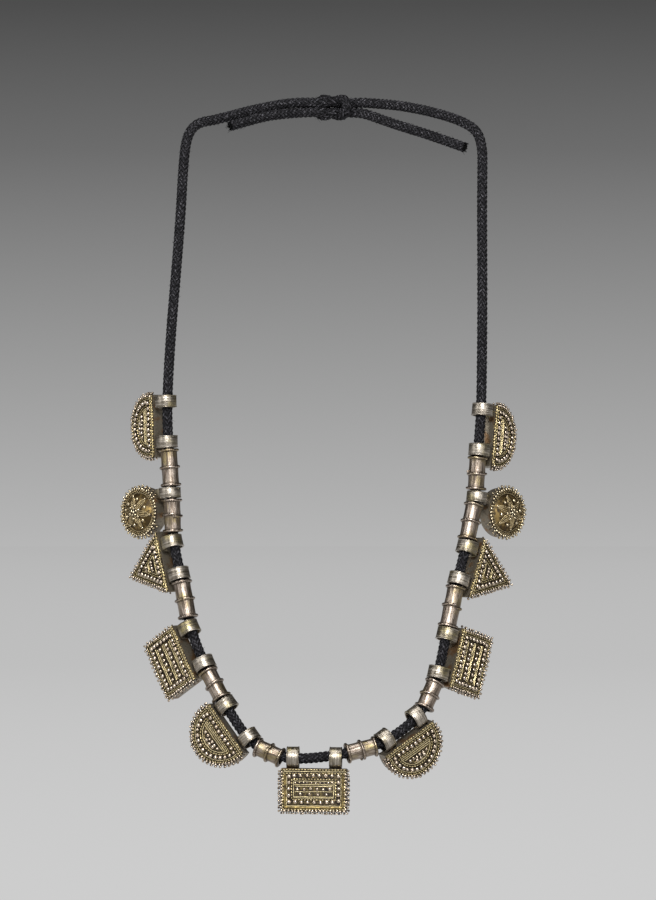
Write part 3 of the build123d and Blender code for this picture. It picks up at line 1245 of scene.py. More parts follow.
    def free_run(self, path: Sequence[Vector], depth: float) -> list[Vector]:
        """Cuts a closed path open at the cord side.

        Args:
            path: points round the path.
            depth: how deep under the cord side a point has to lie.

        Returns:
            The one stretch that lies deeper.
        """
        level = -SIZES.cord_wall - depth
        inside = [place.y < level for place in path]
        first = next(i for i in range(len(path)) if inside[i] and not inside[i - 1])
        turned = [*path[first:], *path[:first]]
        return [place for place in turned if place.y < level]

    def border(self) -> list[Shell]:
        """Builds the plate's border: beads on the free edges, and wires inside them.

        Returns:
            The beads and wires.
        """
        design = self.design
        edge = self.outline.path(self.edge_inset, self.edge_pitch)
        clear = 0.0 if self.kind is CaseKind.DISC else -SIZES.cord_wall - self.edge_clear
        free = [place for place in edge if place.y < clear]
        pieces = [self.grains(free, self.edge_bead, self.edge_lift)]
        for number, inset in enumerate(design.border):
            fine = number > 0
            kind = plate_wire(fine)
            path = self.outline.path(inset, kind.step, kind.steps)
            if self.kind is CaseKind.DISC:
                pieces.append(self.wire(path, fine, closed=True))
            else:
                depth = max(design.cord_side[-1] + self.cord_side_gap, inset + self.wire_gap)
                pieces.append(self.wire(self.free_run(path, depth), fine))
        if design.strip:
            path = self.outline.path(design.strip, self.strip_step)
            run = self.free_run(path, design.strip + self.wire_gap)
            strip = STRIP.laid([Vector((*place, 0.0)) for place in run], SIZES.plate + self.strip_lift)
            strip.relief[:] = self.strip_relief
            pieces.append(strip)
        for number, depth in enumerate(design.cord_side):
            fine = 0 < number < len(design.cord_side) - 1
            run = self.outline.chord(depth, self.wire_gap, plate_wire(fine).step)
            pieces.append(self.wire(run, fine))
        return pieces

    def middle(self) -> list[Shell]:
        """Builds the ring of large grains and all that it encloses.

        Returns:
            The grains and wires.
        """
        design = self.design
        ring = self.outline.path(design.ring_inset, design.ring_pitch, rounding=self.ring_rounding)
        ring = [place + Vector((0.0, design.ring_lift)) for place in ring]
        pieces = [self.grains(ring, self.ring_grain, self.ring_lift)]
        for number, inset in enumerate(design.frames):
            fine = number > 0
            kind = plate_wire(fine)
            path = self.outline.path(inset, kind.step, kind.steps)
            path = [place + Vector((0.0, design.frame_lift)) for place in path]
            pieces.append(self.wire(path, fine, closed=True))
        for run in design.runs:
            path = self.outline.chord(run.depth, run.margin, plate_wire(run.fine).step)
            pieces.append(self.wire(path, run.fine))
        if design.inner_ring:
            level = -SIZES.cord_wall - design.inner_ring_depth
            path = self.outline.path(design.inner_ring, design.ring_pitch * self.inner_pitch)
            inner = [place for place in path if place.y < level]
            pieces.append(self.grains(inner, self.ring_grain * self.inner_grain, self.inner_lift))
        for row in design.rows:
            low, high, level = self.outline.chord_span(row.depth, row.margin)
            step = (high - low) / row.count
            places = [Vector((low + step * (index + 0.5), level)) for index in range(row.count)]
            pieces.append(self.grains(places, row.diameter, self.row_lift))
        return pieces

    def on_dome(self, radius: float, turn: float, lift: float) -> Vector:
        """Finds a place over a disc's dome.

        Args:
            radius: distance from the disc's centre.
            turn: direction from the centre, in radians.
            lift: height over the dome's sheet.

        Returns:
            The place.
        """
        height = self.rosette.height(radius) + SIZES.plate + self.plate_rise + lift
        centre = self.outline.disc_centre
        return Vector((radius * math.cos(turn), centre + radius * math.sin(turn), height))

    def dome_sheet(self) -> Shell:
        """Models a disc's dome: part of a sphere, cut off flat and closed.

        Returns:
            The dome.
        """
        deselect_all()
        rosette = self.rosette
        level = SIZES.plate + rosette.base + rosette.rise - rosette.sphere
        sphere = {"radius": rosette.sphere, "location": (0.0, self.outline.disc_centre, level)}
        bpy.ops.mesh.primitive_uv_sphere_add(segments=48, ring_count=64, **sphere)
        obj = bpy.context.object
        edit_all()
        foot = (0.0, 0.0, SIZES.plate + rosette.cut)
        bpy.ops.mesh.bisect(plane_co=foot, plane_no=(0.0, 0.0, 1.0), clear_inner=True, use_fill=True)
        object_mode()
        return Shell.take(obj, relief=rosette.relief)

    def dome(self) -> list[Shell]:
        """Builds a disc's raised middle with its leaves of wire, grains and central cluster.

        Returns:
            All that makes up the rosette.
        """
        rosette = self.rosette
        centre = self.outline.disc_centre
        pieces = [self.dome_sheet()]
        for index in range(rosette.petals):
            turn = math.tau * (index + rosette.leaf_start) / rosette.petals
            pieces += [self.leaf(turn, half_width) for half_width in rosette.leaf_widths]
        for radius, fine in rosette.wires:
            kind = plate_wire(fine)
            count = int(math.tau * radius / kind.step / kind.steps) * kind.steps
            turns = [math.tau * index / count for index in range(count)]
            path = [Vector((radius * math.cos(turn), centre + radius * math.sin(turn))) for turn in turns]
            pieces.append(self.wire(path, fine, closed=True))
        model = ball(1.0)
        # Painted shade with tarnish: the grains are darker at their feet.
        model.with_relief(lambda points: 0.3 + 0.7 * smooth_step(points[:, 2], -0.25, 0.33))
        matrices = []
        for circle in rosette.circles:
            for index in range(circle.count):
                turn = math.tau * (index + circle.start) / circle.count
                place = self.on_dome(circle.radius, turn, circle.diameter * rosette.grain_lift)
                matrices.append(Matrix.Translation(place) @ Matrix.Scale(circle.diameter, 4))
        pieces.append(model.repeated(matrices))
        return pieces

    def leaf(self, turn: float, half_width: float) -> Shell:
        """Builds one leaf of wire that lies on the dome, pointed at both ends.

        Args:
            turn: its direction from the disc's centre, in radians.
            half_width: about half its width.

        Returns:
            The leaf.
        """
        rosette = self.rosette
        path = []
        for index in range(rosette.leaf_steps):
            swing = math.tau * index / rosette.leaf_steps
            along = rosette.leaf_middle - rosette.leaf_half * math.cos(swing)
            side = half_width * math.sin(swing) * (1.0 + 0.25 * math.cos(swing))
            bearing = turn + math.atan2(side, along)
            path.append(self.on_dome(math.hypot(along, side), bearing, rosette.leaf_lift))
        shell = PLAIN.laid(path, closed=True)
        shell.relief[:] = rosette.leaf_relief
        return shell

    def fringe(self) -> Shell:
        """Builds the fringe: grains on short stalks that point outwards from the free edges.

        Returns:
            The fringe.
        """
        model = self.fringe_grain.model()
        side = -SIZES.cord_wall - self.fringe_clear
        if self.kind is CaseKind.DISC:
            side = -SIZES.collar_radius - self.fringe_grain.reach - SIZES.disc_gap
        copies = []
        for number, row in enumerate(self.fringe_rows):
            path = self.outline.path(self.fringe_inset, self.fringe_pitch / 2)[number::2]
            for before, place, after in zip(path[-1:] + path[:-1], path, path[1:] + path[:1]):
                if place.y > side:
                    continue
                run = (after - before).normalized()
                outwards = Vector((-run.y, run.x, row.rise))
                tilt = Vector([self.rng.uniform(-self.fringe_tilt, self.fringe_tilt) for _ in range(3)])
                turn = (outwards + tilt).to_track_quat("Z", "Y").to_matrix().to_4x4()
                level = SIZES.plate - row.sink + self.rng.uniform(-0.15, 0.15)
                root = Matrix.Translation((place.x, place.y, level))
                copy = model.placed(root @ turn @ Matrix.Scale(self.rng.uniform(0.8, 1.12), 4))
                copy.relief *= self.rng.uniform(0.8, 1.3) - row.shade
                copies.append(copy)
        return Shell.joined(copies)

    def neck(self) -> Shell:
        """Models the block that joins a disc to its one loop.

        Returns:
            The block.
        """
        deselect_all()
        start, end = SIZES.cord_wall - self.neck_sink, self.neck_reach
        bpy.ops.mesh.primitive_cube_add(size=1.0, location=(0.0, -(start + end) / 2, 0.0))
        obj = bpy.context.object
        edit_all()
        width = SIZES.disc_loop_width - self.neck_narrower
        bpy.ops.transform.resize(value=(width, end - start, self.neck_depth))
        bpy.ops.mesh.bevel(offset=self.neck_edge, segments=2)
        object_mode()
        return Shell.take(obj, relief=0.35, finish=Finish.BAND)

    def loops(self) -> Shell:
        """Models the case's band loops, which stay on the cord when the box is dropped.

        Returns:
            The loops, and a disc's neck.
        """
        loop = BandLoop(loop_width(self.kind))
        if self.kind is CaseKind.DISC:
            return Shell.joined([loop.model(0.0), self.neck()])
        half = LOOP_SPACING[self.kind] / 2
        return Shell.joined([loop.model(side * half) for side in (-1, 1)])

    def build(self) -> tuple[Shell, Shell]:
        """Builds the case in its own frame, in millimetres.

        Returns:
            Its box with all that is soldered on it, and its loops.
        """
        soldered = self.border()
        soldered += self.dome() if self.kind is CaseKind.DISC else self.middle()
        return Shell.joined([self.box(), self.plate(), *soldered, self.fringe()]), self.loops()


def loop_width(kind: CaseKind) -> float:
    """Returns the width of a case's band loops."""
    return SIZES.disc_loop_width if kind is CaseKind.DISC else SIZES.loop_width


def case_frame(seat: CaseSeat) -> Matrix:
    """Works out a case's own frame.

    Args:
        seat: where the case rides on the cord.

    Returns:
        The frame: x along the cord, z out of the plate and the origin on the loops' axis.
    """
    start = Vector(STRUNG_POINTS[seat.first])
    end = Vector(STRUNG_POINTS[seat.last])
    if seat.first == seat.last:
        before = Vector(STRUNG_POINTS[seat.first - 1])
        after = Vector(STRUNG_POINTS[seat.first + 1])
        along = ((start - before).normalized() + (after - start).normalized()).normalized()
    else:
        along = (end - start).normalized()
    front = Vector((0.0, -1.0, 0.0))
    facing = (front - along * front.dot(along)).normalized()
    normal = Matrix.Rotation(math.radians(seat.turn_out), 3, along) @ facing
    reach = (LOOP_SPACING[seat.kind] + loop_width(seat.kind)) / 2
    travel = reach * math.sin(math.radians(abs(seat.lean)))
    offset = max(SIZES.loop_play - SIZES.seat_gap - travel, 0.0)
    angle = math.radians(seat.seat)
    turned = Matrix((along, normal.cross(along), normal)).transposed().to_4x4()
    shift = Vector((seat.slide, -offset * math.cos(angle), offset * math.sin(angle))) * MM
    lean = Matrix.Rotation(math.radians(seat.lean), 4, "Z")
    return Matrix.Translation((start + end) / 2) @ turned @ Matrix.Translation(shift) @ lean


class Cases:
    """The eleven amulet cases."""

    def __init__(self, looks: Looks, disc_looks: Looks) -> None:
        """Models each kind of case once.

        Args:
            looks: the material of each finish.
            disc_looks: the same for the discs, which have kept more of their gold.
        """
        self.looks = looks
        self.disc_looks = disc_looks
        self.models: dict[CaseKind, tuple[Shell, Shell]] = {}
        for index, kind in enumerate(CaseKind):
            self.models[kind] = AmuletCase(kind, random.Random(SEED + index)).build()
            LOG.info("modelled %s, %d points", kind.value, len(self.models[kind][0].points))

    def place(self, seat: CaseSeat, index: int) -> Object:
        """Joins one case and puts it where its loops ride on the cord.

        Args:
            seat: where it rides.
            index: its number, which makes its pattern its own.

        Returns:
            The finished case.
        """
        box, loops = self.models[seat.kind]
        downwards = 1.0 if seat.first < len(STRUNG_POINTS) / 2 else -1.0
        dropped = box.placed(Matrix.Translation((downwards * seat.drop, 0.0, 0.0)))
        case = Shell.joined([dropped, loops])
        case.local = case.points + np.array((index * CASE_PATTERN_STEP, 0.0, 0.0))
        case.points = CASE_WAVER.moved(case.points, index + 1.0)
        looks = self.disc_looks if seat.kind is CaseKind.DISC else self.looks
        placed = case.placed(case_frame(seat) @ Matrix.Scale(MM, 4))
        return placed.to_object(seat.name + "_dressed", looks)


@dataclass
class SpoolBead:
    """A bead of rolled sheet with a round wire at each end and in the middle, in millimetres.

    First is the strung point that its run starts at, before and after are the cases beside it, and
    the key makes its pattern its own. Waist is how far the tube is drawn in between its wires.
    """

    name: str
    first: int
    before: CaseSeat
    after: CaseSeat
    key: int
    waist: float = 0.16
    profile_steps: int = 14
    sides: int = 48
    ring_step: float = 0.6
    ring_turn: float = 2.2
    laps: tuple[float, float] = (0.7, 1.4)
    # Painted shade beside the wires: its inset and width at the ends, and its width in the middle
    end_shade: tuple[float, float] = (0.7, 1.25)
    middle_shade: float = 1.3

    def loop_face(self, seat: CaseSeat, side: int) -> tuple[Vector, Vector]:
        """Finds the outer face of a case's first or last loop.

        Args:
            seat: the case.
            side: -1 for its first loop and 1 for its last.

        Returns:
            The middle of the face, and its direction.
        """
        frame = case_frame(seat)
        reach = (LOOP_SPACING[seat.kind] + loop_width(seat.kind)) / 2 * MM
        facing = frame.col[0].xyz * side
        return frame.translation + facing * reach, facing

    def span(self) -> tuple[Vector, Vector, float, float]:
        """Works out where the bead fits between the loops beside it.

        Returns:
            The run's start and direction, and where the bead starts and ends on it.
        """
        start = Vector(STRUNG_POINTS[self.first])
        along = (Vector(STRUNG_POINTS[self.first + 1]) - start).normalized()
        ends = []
        for seat, side in ((self.before, 1), (self.after, -1)):
            face, facing = self.loop_face(seat, side)
            tilt = facing.angle(along * side)
            room = (SIZES.spool_end_gap + SIZES.collar_radius * math.sin(tilt)) * MM
            ends.append((room + (face - start).dot(facing)) / along.dot(facing))
        return start, along, ends[0], ends[1]

    def tube(self, half: float) -> Shell:
        """Models the tube: a circle extruded and scaled along its profile.

        Args:
            half: half the bead's length.

        Returns:
            The tube, with painted shade beside its wires.
        """
        deselect_all()
        shares = [index / self.profile_steps for index in range(self.profile_steps + 1)]
        radii = [SIZES.spool_radius - self.waist * abs(math.sin(math.tau * share)) for share in shares]
        foot = (0.0, 0.0, -half)
        bpy.ops.mesh.primitive_circle_add(vertices=self.sides, radius=radii[0], location=foot)
        obj = bpy.context.object
        edit_all()
        for before, after in zip(radii, radii[1:]):
            extrude(2 * half / self.profile_steps)
            bpy.ops.transform.resize(value=(after / before, after / before, 1.0))
        object_mode()
        wall = obj.modifiers.new("wall", "SOLIDIFY")
        wall.thickness = SIZES.spool_wall
        wall.offset = -1.0
        make_active(obj)
        edit_all()
        bpy.ops.mesh.normals_make_consistent(inside=False)
        object_mode()
        bpy.ops.object.modifier_apply(modifier="wall")
        tube = Shell.take(obj, finish=Finish.BAND)
        # Painted shade: the tube is darkened beside its wires.
        return tube.with_relief(lambda points: 0.75 - 0.6 * self.darkening(np.abs(points[:, 2]), half))

    def darkening(self, height: np.ndarray, half: float) -> np.ndarray:
        """Returns how much painted shade darkens the tube beside its wires, at heights from its middle.
        """
        inset, width = self.end_shade
        ends = np.exp(-(((height - half + inset) / width) ** 2))
        return np.clip(ends + np.exp(-((height / self.middle_shade) ** 2)), 0.0, 1.0)

    def ring(self, height: float, lap: float = 0.0) -> Shell:
        """Builds one wire round the tube.

        Args:
            height: its height from the bead's middle.
            lap: how far apart its ends lie, side by side; 0 where they meet.

        Returns:
            The wire.
        """
        middle = SIZES.collar_radius - COLLAR.width / 2
        count = int(math.tau * middle / self.ring_step)
        path = []
        for index in range(count + 1 if lap else count):
            share = index / count
            turn = math.tau * share + self.ring_turn * self.key
            lift = lap * (share - 0.5)
            path.append(Vector((middle * math.cos(turn), middle * math.sin(turn), height + lift)))
        shell = COLLAR.laid(path, closed=not lap)
        shell.finish[:] = Finish.BAND.value
        reach = np.hypot(shell.points[:, 0], shell.points[:, 1])
        # Painted shade: the wire is darker on its inner side, where it meets the tube.
        shell.relief = 0.3 + 0.7 * smooth_step(reach, middle - 0.2, middle + 0.35)
        return shell

    def build(self, looks: Looks) -> Object:
        """Builds the bead and threads it on its run.

        Args:
            looks: the material of each finish.

        Returns:
            The finished bead.
        """
        start, along, low, high = self.span()
        half = (high - low) / 2 / MM
        rings = [self.ring(side * (half - COLLAR.width / 2)) for side in (-1, 1)]
        rings.append(self.ring(0.0, self.laps[self.key % 2]))
        bead = Shell.joined([self.tube(half), *rings])
        bead.local = bead.points + np.array((0.0, 0.0, self.key * SPOOL_PATTERN_STEP))
        bead.points = SPOOL_WAVER.moved(bead.points, self.key + 31.0)
        middle = start + along * ((low + high) / 2)
        turn = along.to_track_quat("Z", "Y").to_matrix().to_4x4()
        placed = bead.placed(Matrix.Translation(middle) @ turn @ Matrix.Scale(MM, 4))
        return placed.to_object(self.name + "_dressed", looks, smooth_angle=40.0)


@dataclass(frozen=True)
class Braid:
    """A round braid of thread bundles, as many running each way round a core, in millimetres."""

    bundles: int = 8
    lay: float = 20.0
    radius: float = 2.02
    swing: float = 0.3
    half_width: float = 0.78
    half_thickness: float = 0.42
    core: float = 1.75
    core_sides: int = 10
    step: float = 0.7

    def bundle(self, way: int, index: int, line: Line) -> Shell:
        """Builds one bundle of thread, which goes over two others and under two.

        Args:
            way: 1 or -1, the way it winds round the cord.
            index: its number among those that wind that way.
            line: the cord's line.

        Returns:
            The bundle, in metres.
        """
        marks = line.marks / MM
        rate = math.tau / self.lay
        spacing = math.tau / self.bundles
        crossings = 2 * rate * marks / spacing
        turn = way * rate * marks + index * spacing
        if way > 0:
            lift = np.cos(math.pi * index + math.pi * (crossings - 0.5) / 2)
        else:
            lift = -np.cos(math.pi * (2 * index - crossings - 0.5) / 2)
        outwards = np.cos(turn)[:, None] * line.across + np.sin(turn)[:, None] * line.up
        centre = line.points + outwards * ((self.radius + self.swing * lift) * MM)[:, None]
        ahead = np.gradient(centre, axis=0)
        ahead /= np.linalg.norm(ahead, axis=1)[:, None]
        side = np.cross(outwards, ahead)
        side /= np.linalg.norm(side, axis=1)[:, None]
        outwards = np.cross(ahead, side)
        wide, thick = self.half_width, self.half_thickness
        corners = ((side, wide), (outwards, thick), (side, -wide), (outwards, -thick))
        rings = np.stack([centre + direction * (reach * MM) for direction, reach in corners], 1)
        local = np.zeros_like(rings)
        local[:, :, 0] = np.array((wide, 0.0, -wide, 0.0)) * way
        local[:, :, 1] = marks[:, None]
        local[:, :, 2] = way * (index + 1) * BUNDLE_PATTERN_STEP
        shell = strung_rings(rings)
        shell.local = local.reshape(-1, 3)
        # Painted shade: a bundle is darker where it passes under the others.
        shell.relief = np.repeat(0.5 + 0.5 * lift, len(corners))
        return shell

    def core_tube(self, line: Line) -> Shell:
        """Builds the core that shows dark with painted shade between the bundles.

        Args:
            line: the cord's line.

        Returns:
            The core, closed at both ends, in metres.
        """
        turns = [math.tau * index / self.core_sides for index in range(self.core_sides)]
        rings = [
            line.points + (math.cos(turn) * line.across + math.sin(turn) * line.up) * self.core * MM
            for turn in turns
        ]
        shell = strung_rings(np.stack(rings, 1))
        shell.local = shell.points / MM
        return shell

    def along(self, line: Line) -> list[Shell]:
        """Builds all the bundles and the core along one stretch of the cord."""
        bundles = [self.bundle(way, index, line) for way in (1, -1) for index in range(self.bundles)]
        return [*bundles, self.core_tube(line)]


def strung_rings(rings: np.ndarray) -> Shell:
    """Joins rings of points, one after another, as a tube that is closed at both ends.

    Args:
        rings: points by ring, corner and axis.

    Returns:
        The tube, of thread.
    """
    count, sides = rings.shape[:2]
    faces = [tuple(reversed(range(sides)))]
    for ring in range(count - 1):
        low = ring * sides
        for corner in range(sides):
            after = (corner + 1) % sides
            faces.append((low + corner, low + after, low + sides + after, low + sides + corner))
    faces.append(tuple(range((count - 1) * sides, count * sides)))
    total = count * sides
    return Shell(rings.reshape(-1, 3), faces, np.zeros(total), np.full(len(faces), Finish.THREAD.value))


@dataclass(frozen=True)
class Fray:
    """The loose threads at one end of the cord, in millimetres.

    End is 0 for the start of the cord's line and -1 for its end. Length is the longest thread's
    reach, spread how far they fan out, and key seeds their places.
    """

    end: int
    count: int
    length: float
    spread: float
    key: int
    circle: float = 2.3
    root_depth: float = 1.2
    thickness: float = 0.2


RIGHT_FRAY = Fray(end=0, count=60, length=2.6, spread=0.35, key=7)
LEFT_FRAY = Fray(end=-1, count=60, length=3.2, spread=0.25, key=8)
# Where along a loose fibre its points are
FIBRE_SHARES = (0.0, 0.3, 0.65, 1.0)


class Cord:
    """The one length of braided cord, with its knot and its two frayed ends.

    Its stretches are numbered along its line: the right end, the right half of the knot, the loop,
    the left half of the knot and the left end.
    """

    def __init__(self, material: Material, braid: Braid = Braid()) -> None:
        """Reads the cord's line.

        Args:
            material: the finish of the thread.
            braid: how the cord is braided.
        """
        self.material = material
        self.braid = braid
        right = [*reversed(RIGHT_TAIL), *RIGHT_BIGHT, *reversed(RIGHT_STRAND)]
        left = [*reversed(LEFT_STRAND), *LEFT_BIGHT, *LEFT_TAIL]
        route = Route([*right, *reversed(STRUNG_POINTS), *left])
        self.line = route.sampled(braid.step * MM)
        self.cuts = [0.0]
        for place in (RIGHT_BIGHT[0], RIGHT_BIGHT[-1], LEFT_BIGHT[0], LEFT_BIGHT[-1]):
            self.cuts.append(route.nearest_mark(place))
        self.cuts.append(route.length)
        cuts = [round(cut / MM, 1) for cut in self.cuts]
        LOG.info("cord %.1f mm long, cut at %s", route.length / MM, cuts)

    def stretch(self, first: int, margin: float = 0.0) -> Line:
        """Returns the line from one cut to the next, and a margin beyond both in metres."""
        return self.line.between(self.cuts[first] - margin, self.cuts[first + 1] + margin)

    def braided(self, first: int) -> list[Shell]:
        """Builds the braid of one stretch, which goes on a step into the next."""
        return self.braid.along(self.stretch(first, self.braid.step * MM))

    def frayed(self, fray: Fray) -> Shell:
        """Builds the loose threads at one end of the cord.

        Args:
            fray: how many threads stand out, and how far.

        Returns:
            The threads.
        """
        rng = random.Random(SEED + fray.key)
        place, side, up = self.line.frame(fray.end)
        inner = Vector(self.line.points[4 if fray.end == 0 else -5])
        ahead = (place - inner).normalized()
        pieces = []
        for _ in range(fray.count):
            turn = rng.uniform(0.0, math.tau)
            reach = fray.circle * math.sqrt(rng.random())
            outwards = side * math.cos(turn) + up * math.sin(turn)
            root = place + outwards * (reach * MM) - ahead * (fray.root_depth * MM)
            run = fray.length * rng.uniform(0.45, 1.0)
            lean = outwards * (fray.spread * rng.uniform(0.2, 1.0)) + side * rng.uniform(-0.2, 0.2)
            bend = up * rng.uniform(-0.35, 0.35)
            path = []
            for index in range(5):
                share = index / 4
                move = ahead * (run * share) + lean * (run * share**1.5) + bend * (run * share**2)
                path.append(root + move * MM)
            pieces.append(self.thread(path, fray.thickness * rng.uniform(0.7, 1.2)))
        tuft = Shell.joined(pieces)
        tuft.local = tuft.points / MM
        tuft.relief[:] = 0.6
        return tuft

    def fuzz(self, first: int, count: int) -> Shell:
        """Builds short loose fibres that stand off one stretch of the cord.

        Args:
            first: the number of the stretch.
            count: how many fibres it has.

        Returns:
            The fibres.
        """
        rng = random.Random(SEED + 20 + first)
        line = self.stretch(first)
        pieces = []
        for _ in range(count):
            place, side, up = line.frame(rng.choice(range(len(line.marks))))
            turn = rng.uniform(0.0, math.tau)
            outwards = side * math.cos(turn) + up * math.sin(turn)
            around = up * math.cos(turn) - side * math.sin(turn)
            ahead = side.cross(up) * rng.choice((-1, 1))
            root = place + outwards * (2.35 * MM)
            run = rng.uniform(0.7, 2.0) * MM
            lean = ahead * rng.uniform(0.2, 1.0) + around * rng.uniform(-0.8, 0.8)
            lift = rng.uniform(0.35, 0.8)
            path = [
                root + (lean * share + outwards * (lift * math.sqrt(share))) * run
                for share in FIBRE_SHARES
            ]
            pieces.append(self.thread(path, rng.uniform(0.06, 0.11)))
        shell = Shell.joined(pieces)
        shell.local = shell.points / MM * np.array((0.0, 1.0, 1.0))
        shell.relief[:] = 0.8
        return shell

    def thread(self, path: Sequence[Vector], radius: float) -> Shell:
        """Builds one loose thread as a thin tapering tube.

        Args:
            path: points along it, in metres.
            radius: its radius at its root, in millimetres.

        Returns:
            The thread.
        """
        ahead = (path[-1] - path[0]).normalized()
        side = ahead.orthogonal().normalized()
        up = ahead.cross(side)
        rings = []
        for index, place in enumerate(path):
            thick = radius * MM * (1.0 - 0.75 * index / (len(path) - 1))
            turns = [math.tau * corner / 3 for corner in range(3)]
            ring = [place + (side * math.cos(turn) + up * math.sin(turn)) * thick for turn in turns]
            rings.append([tuple(point) for point in ring])
        return strung_rings(np.array(rings))

    def declare_ends(self) -> None:
        for name, first in (("cord_end_right", 0), ("cord_end_left", 4)):
            line = [tuple(place) for place in self.stretch(first).points.tolist()]
            line = line[::-1] if first == 0 else line

    def build(self) -> dict[str, Object]:
        """Builds the cord's pieces.

        Returns:
            The pieces by the name of the solid that each stands for.
        """
        right = Shell.joined([*self.braided(0), self.fuzz(0, 70), self.frayed(RIGHT_FRAY)])
        left = Shell.joined([*self.braided(4), self.fuzz(4, 50), self.frayed(LEFT_FRAY)])
        knot = Shell.joined([*self.braided(1), *self.braided(3), self.fuzz(1, 60), self.fuzz(3, 60)])
        loop = Shell.joined([*self.braided(2), self.fuzz(2, 700)])
        shells = {"cord_end_right": right, "cord_end_left": left, "knot": knot, "cord_loop": loop}
        looks = {Finish.THREAD: self.material}
        return {
            name: shell.to_object(name + "_braided", looks, smooth_angle=100.0)
            for name, shell in shells.items()
        }


class Value:
    """A shader value. Arithmetic with it adds Math nodes to its graph."""

    def __init__(self, graph: "Graph", socket: bpy.types.NodeSocket) -> None:
        """Wraps a node's output."""
        self.graph = graph
        self.socket = socket

    def maths(self, operation: str, *operands: "Value | float") -> "Value":
        """Adds a Math node with these operands in order."""
        return self.graph.node("ShaderNodeMath", dict(enumerate(operands)), operation=operation)

    def __add__(self, other: "Value | float") -> "Value":
        """Adds."""
        return self.maths("ADD", self, other)

    def __sub__(self, other: "Value | float") -> "Value":
        """Subtracts."""
        return self.maths("SUBTRACT", self, other)

    def __rsub__(self, other: float) -> "Value":
        """Subtracts from a number."""
        return self.maths("SUBTRACT", other, self)

    def __mul__(self, other: "Value | float") -> "Value":
        """Multiplies."""
        return self.maths("MULTIPLY", self, other)

    __radd__ = __add__
    __rmul__ = __mul__

    def ramp(self, low: float, high: float) -> "Value":
        """Rises smoothly from 0 at low to 1 at high."""
        inputs = {"Value": self, "From Min": low, "From Max": high}
        return self.graph.node("ShaderNodeMapRange", inputs, interpolation_type="SMOOTHSTEP")


Colour = tuple[float, float, float]


class Graph:
    """One material's node graph."""

    def __init__(self, name: str) -> None:
        """Makes a material with an empty graph.

        Args:
            name: the material's name.
        """
        self.material = bpy.data.materials.new(name)
        self.material.use_nodes = True
        self.tree = self.material.node_tree
        self.tree.nodes.clear()

    def feed(self, socket: bpy.types.NodeSocket, value: "Value | float | Sequence[float]") -> None:
        """Links a value to a socket, or sets the socket to a constant.

        Args:
            socket: an input.
            value: another node's output, or a constant.
        """
        if isinstance(value, Value):
            self.tree.links.new(value.socket, socket)
        elif socket.type == "RGBA":
            socket.default_value = (*value, 1.0)
        else:
            socket.default_value = value

    def node(
        self, kind: str, inputs: dict | None = None, output: int | str = 0, **settings: object
    ) -> Value:
        """Adds a node.

        Args:
            kind: the node's type.
            inputs: values or constants by the socket's name or number.
            output: which of its outputs to return.
            settings: the node's own settings.

        Returns:
            The chosen output.
        """
        made = self.tree.nodes.new(kind)
        for name, setting in settings.items():
            setattr(made, name, setting)
        for key, value in (inputs or {}).items():
            self.feed(made.inputs[key], value)
        return Value(self, made.outputs[output])

    def ramp(self, share: Value, stops: Sequence[tuple[float, float]]) -> Value:
        """Turns a value from 0 to 1 into a grey.

        Args:
            share: the value.
            stops: pairs of a value and its grey.

        Returns:
            The grey.
        """
        shade = self.node("ShaderNodeValToRGB", {0: share})
        elements = shade.socket.node.color_ramp.elements
        while len(elements) < len(stops):
            elements.new(1.0)
        for element, (position, grey) in zip(elements, stops):
            element.position = position
            element.color = (grey, grey, grey, 1.0)
        return shade

    def attribute(self, name: str, output: str = "Fac") -> Value:
        """Reads an attribute of the mesh."""
        return self.node("ShaderNodeAttribute", None, output, attribute_name=name)

    def stretched(self, place: Value, scale: Sequence[float]) -> Value:
        """Scales a place by axis."""
        return self.node("ShaderNodeVectorMath", {0: place, 1: scale}, operation="MULTIPLY")

    def noise(self, place: Value, scale: float, detail: float = 2.0, roughness: float = 0.5) -> Value:
        """Reads smooth noise at a place."""
        inputs = {"Vector": place, "Scale": scale, "Detail": detail, "Roughness": roughness}
        return self.node("ShaderNodeTexNoise", inputs)

    def crevice(self, reach: float) -> Value:
        """Reads how open a place is to what lies within a reach in metres, 0 deep in a crevice."""
        inputs = {"Distance": reach}
        return self.node("ShaderNodeAmbientOcclusion", inputs, "AO", samples=4, only_local=True)

    def mix(self, share: Value, first: "Value | Colour", second: "Value | Colour") -> Value:
        """Mixes two colours."""
        inputs = {0: share, 6: first, 7: second}
        return self.node("ShaderNodeMix", inputs, 2, data_type="RGBA")

    def bump(self, height: Value, distance: float) -> Value:
        """Turns a height from 0 to 1 into a normal; distance is the height of 1 in metres."""
        return self.node("ShaderNodeBump", {"Height": height, "Distance": distance})

    def surface(self, **inputs: "Value | float | Colour") -> Material:
        """Ends the graph with a principled surface, its inputs named with underscores."""
        named = {name.replace("_", " "): value for name, value in inputs.items()}
        shader = self.node("ShaderNodeBsdfPrincipled", named)
        self.node_output(shader)
        return self.material

    def node_output(self, shader: Value) -> None:
        """Links a shader to the material's output."""
        output = self.tree.nodes.new("ShaderNodeOutputMaterial")
        self.tree.links.new(shader.socket, output.inputs["Surface"])


@dataclass(frozen=True)
class Look:
    """A finish of the necklace's own surfaces."""

    def begun(self, name: str) -> tuple[Graph, Value, Value]:
        """Begins a graph, and reads a piece's own place and relief in it."""
        graph = Graph(name)
        return graph, graph.attribute("local", "Vector"), graph.attribute("relief")


